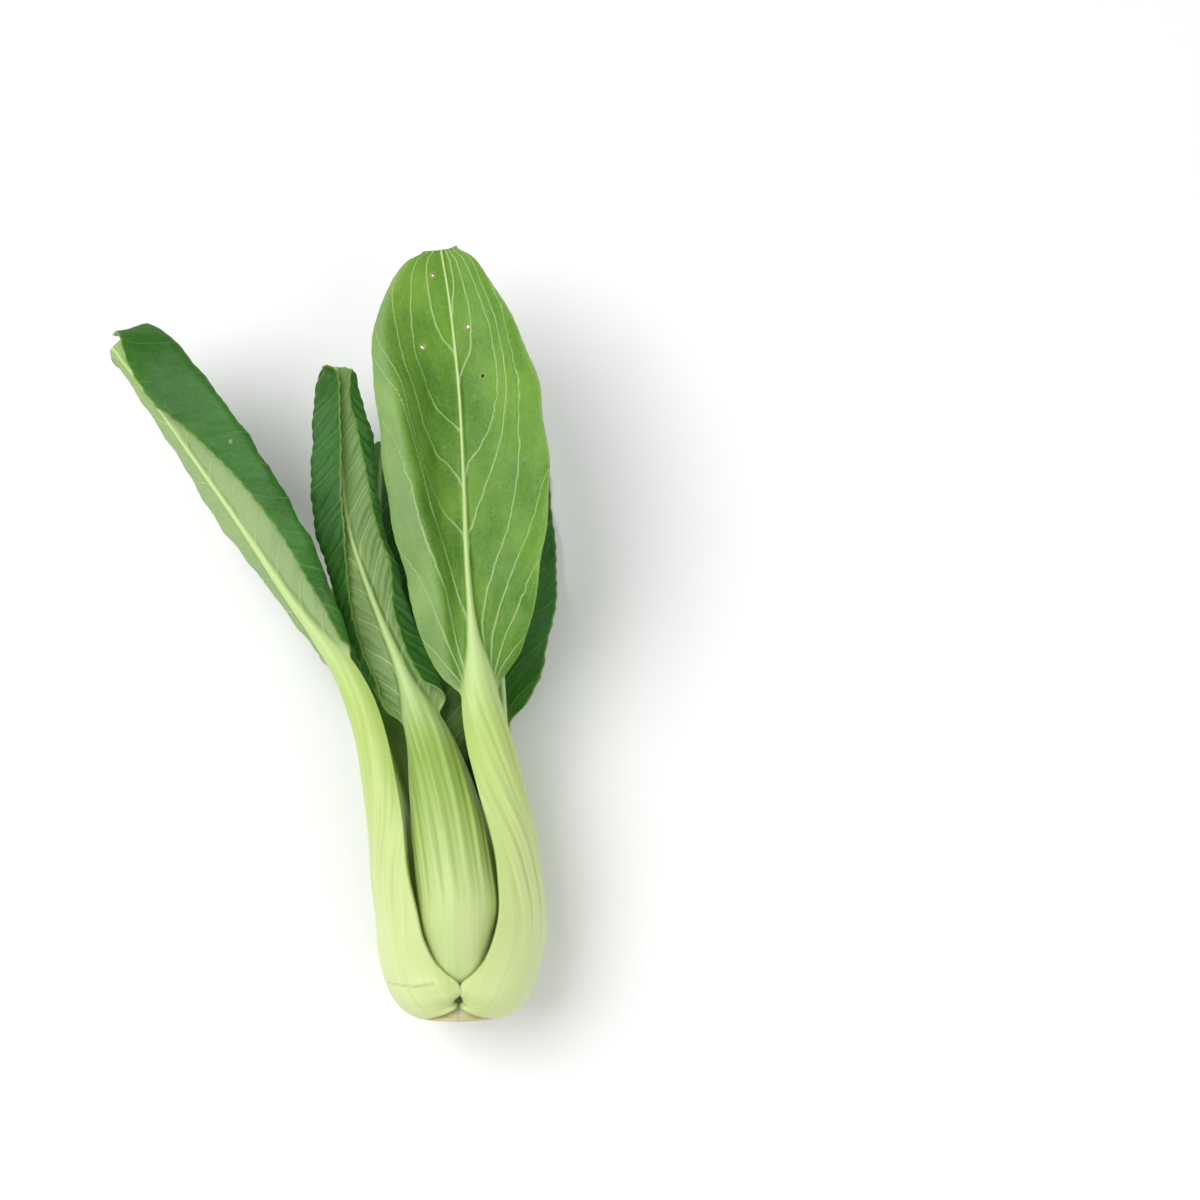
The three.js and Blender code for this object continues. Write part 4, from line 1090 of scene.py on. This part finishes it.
def stem_piece():
    """The cut stem as a turned form with a slightly uneven cut face."""
    step = np.concatenate([[0], np.cumsum(np.linalg.norm(np.diff(STEM_PROFILE, axis=0), axis=1))])
    fine = np.linspace(0, step[-1], STEM_RINGS)
    radius = np.interp(fine, step, STEM_PROFILE[:, 0])
    depth = np.interp(fine, step, STEM_PROFILE[:, 1])
    turn = np.arange(STEM_SIDES) * 2 * math.pi / STEM_SIDES
    wobble = 0.12 * np.sin(3 * turn + 1) + 0.1 * np.sin(7 * turn) + 0.06 * np.sin(13 * turn + 2)
    r = radius[:, None] * (1 - 0.012 + wobble[None, :] * 0.08)
    uneven = 0.1 * (1 + np.sin(r * 1.1 + np.sin(2 * turn)[None, :] * 1.5)) * (depth[:, None] < 0.5)
    y = depth[:, None] + uneven * smoothstep(r, 0, 3)
    points = np.stack([AXIS_X + r * np.sin(turn), y, AXIS_Z + r * np.cos(turn)], -1)
    rings = points[1:-1]
    count = rings.shape[0]
    ends = np.array([[AXIS_X, 0.0, AXIS_Z], [AXIS_X, depth[-1], AXIS_Z]])
    number = np.arange(count * STEM_SIDES).reshape(count, STEM_SIDES)
    after = np.roll(number, -1, axis=1)
    squares = np.stack([number[:-1], number[1:], after[1:], after[:-1]], -1).reshape(-1, 4)
    halves = np.concatenate([squares[:, [0, 1, 2]], squares[:, [0, 2, 3]]])
    end = np.full(STEM_SIDES, number.size)
    first = np.stack([number[0], after[0], end], -1)
    last = np.stack([after[-1], number[-1], end + 1], -1)
    corners = np.concatenate([rings.reshape(-1, 3), ends])
    piece = make_mesh("fine_stem", corners, np.concatenate([halves, first, last]))
    field = np.stack([r[1:-1], turn * np.ones((count, 1)) * 4, y[1:-1]], -1).reshape(-1, 3)
    add_field(piece.data, "cut", np.concatenate([field, [[0, 0, 0], [0, 0, depth[-1]]]]))
    return piece


# Colours of the leaves, and the share of the light that passes through their blades
OUTER_TINT = {
    "above_dark": "1f521a",
    "above_light": "387a26",
    "below_dark": "3f761c",
    "below_light": "82b03e",
    "below_pale": "b4cc94",
    "vein_above": "6a9c48",
    "vein_below": "b7d08c",
    "rim": "96b854",
    "scar": "aeb070",
    "stalk_low": "cdda9b",
    "stalk_high": "b1c96c",
    "stalk_edge": "98b44a",
    "groove": "7fa33a",
    "streak": "e0e9ba",
}
HEART_TINT = {**OUTER_TINT, "stalk_low": "c9d898", "stalk_high": "a3c260"}
OUTER_THROUGH = 0.3
HEART_THROUGH = 0.35

outer_leaf = leaf_material("outer_leaf", OUTER_TINT, OUTER_THROUGH)
heart_leaf = leaf_material("heart_leaf", HEART_TINT, HEART_THROUGH)

for spec in LEAVES:
    piece = leaf_piece(spec)
    young = "heart" in spec["name"]
    piece.data.materials.append(heart_leaf if young else outer_leaf)
    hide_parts(spec["name"])
    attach(piece, "root")

stem = stem_piece()
stem.data.materials.append(stem_material())
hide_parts("stem")
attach(stem, "root")

# Floor, light and camera, in metres
FLOOR_REACH = 4.0
FLOOR_BRIGHTNESS = 0.9
FLOOR_ROUGHNESS = 0.8
LIT_PLACE = (0, 0.06, 0)
WORLD_STRENGTH = 0.5
CAMERA_ELEVATION = 78.5
CAMERA_DISTANCE = 0.9
# What the camera looks at, in the part's source frame
CAMERA_TARGET = (0.040, 0.121, 0.030)
FOCAL_PIXELS = 3037
IMAGE_PIXELS = 1200
SENSOR_WIDTH = 36


def add_floor():
    reach = FLOOR_REACH
    corners = [(-reach, -reach, 0), (reach, -reach, 0), (reach, reach, 0), (-reach, reach, 0)]
    mesh = bpy.data.meshes.new("floor")
    mesh.from_pydata(corners, [], [(0, 1, 2, 3)])
    floor = bpy.data.objects.new("floor", mesh)
    bpy.context.scene.collection.objects.link(floor)
    material = bpy.data.materials.new("floor")
    material.use_nodes = True
    shader = material.node_tree.nodes["Principled BSDF"]
    shader.inputs["Base Color"].default_value = (*[FLOOR_BRIGHTNESS] * 3, 1)
    shader.inputs["Roughness"].default_value = FLOOR_ROUGHNESS
    mesh.materials.append(material)


def add_area_light(name, place, size, power):
    """A round soft light that points at the head's bulb."""
    light = bpy.data.lights.new(name, "AREA")
    light.shape = "DISK"
    light.size = size
    light.energy = power
    lamp = bpy.data.objects.new(name, light)
    lamp.location = place
    lamp.rotation_euler = (Vector(LIT_PLACE) - Vector(place)).to_track_quat("-Z", "Y").to_euler()
    bpy.context.scene.collection.objects.link(lamp)


def add_camera():
    """Looks steeply down on the head from the cut stem's side, as the photograph does."""
    elevation = math.radians(CAMERA_ELEVATION)
    target = Vector(CAMERA_TARGET) - Vector((REST_X, REST_Y, 0)) * METRE
    camera = bpy.data.cameras.new("camera")
    camera.sensor_width = SENSOR_WIDTH
    camera.lens = SENSOR_WIDTH * FOCAL_PIXELS / IMAGE_PIXELS
    viewer = bpy.data.objects.new("camera", camera)
    viewer.location = target + CAMERA_DISTANCE * Vector((0, -math.cos(elevation), math.sin(elevation)))
    viewer.rotation_euler = (math.pi / 2 - elevation, 0, 0)
    bpy.context.scene.collection.objects.link(viewer)
    bpy.context.scene.camera = viewer


add_floor()
add_area_light("key", (-0.6, 0.2, 1.0), size=1.1, power=11.5)
add_area_light("fill", (0.7, -0.5, 1.0), size=1.0, power=4.5)
add_camera()

world = bpy.data.worlds.new("world")
world.use_nodes = True
background = world.node_tree.nodes["Background"]
background.inputs["Color"].default_value = (1, 1, 1, 1)
background.inputs["Strength"].default_value = WORLD_STRENGTH
bpy.context.scene.world = world
bpy.context.scene.view_settings.view_transform = "Standard"
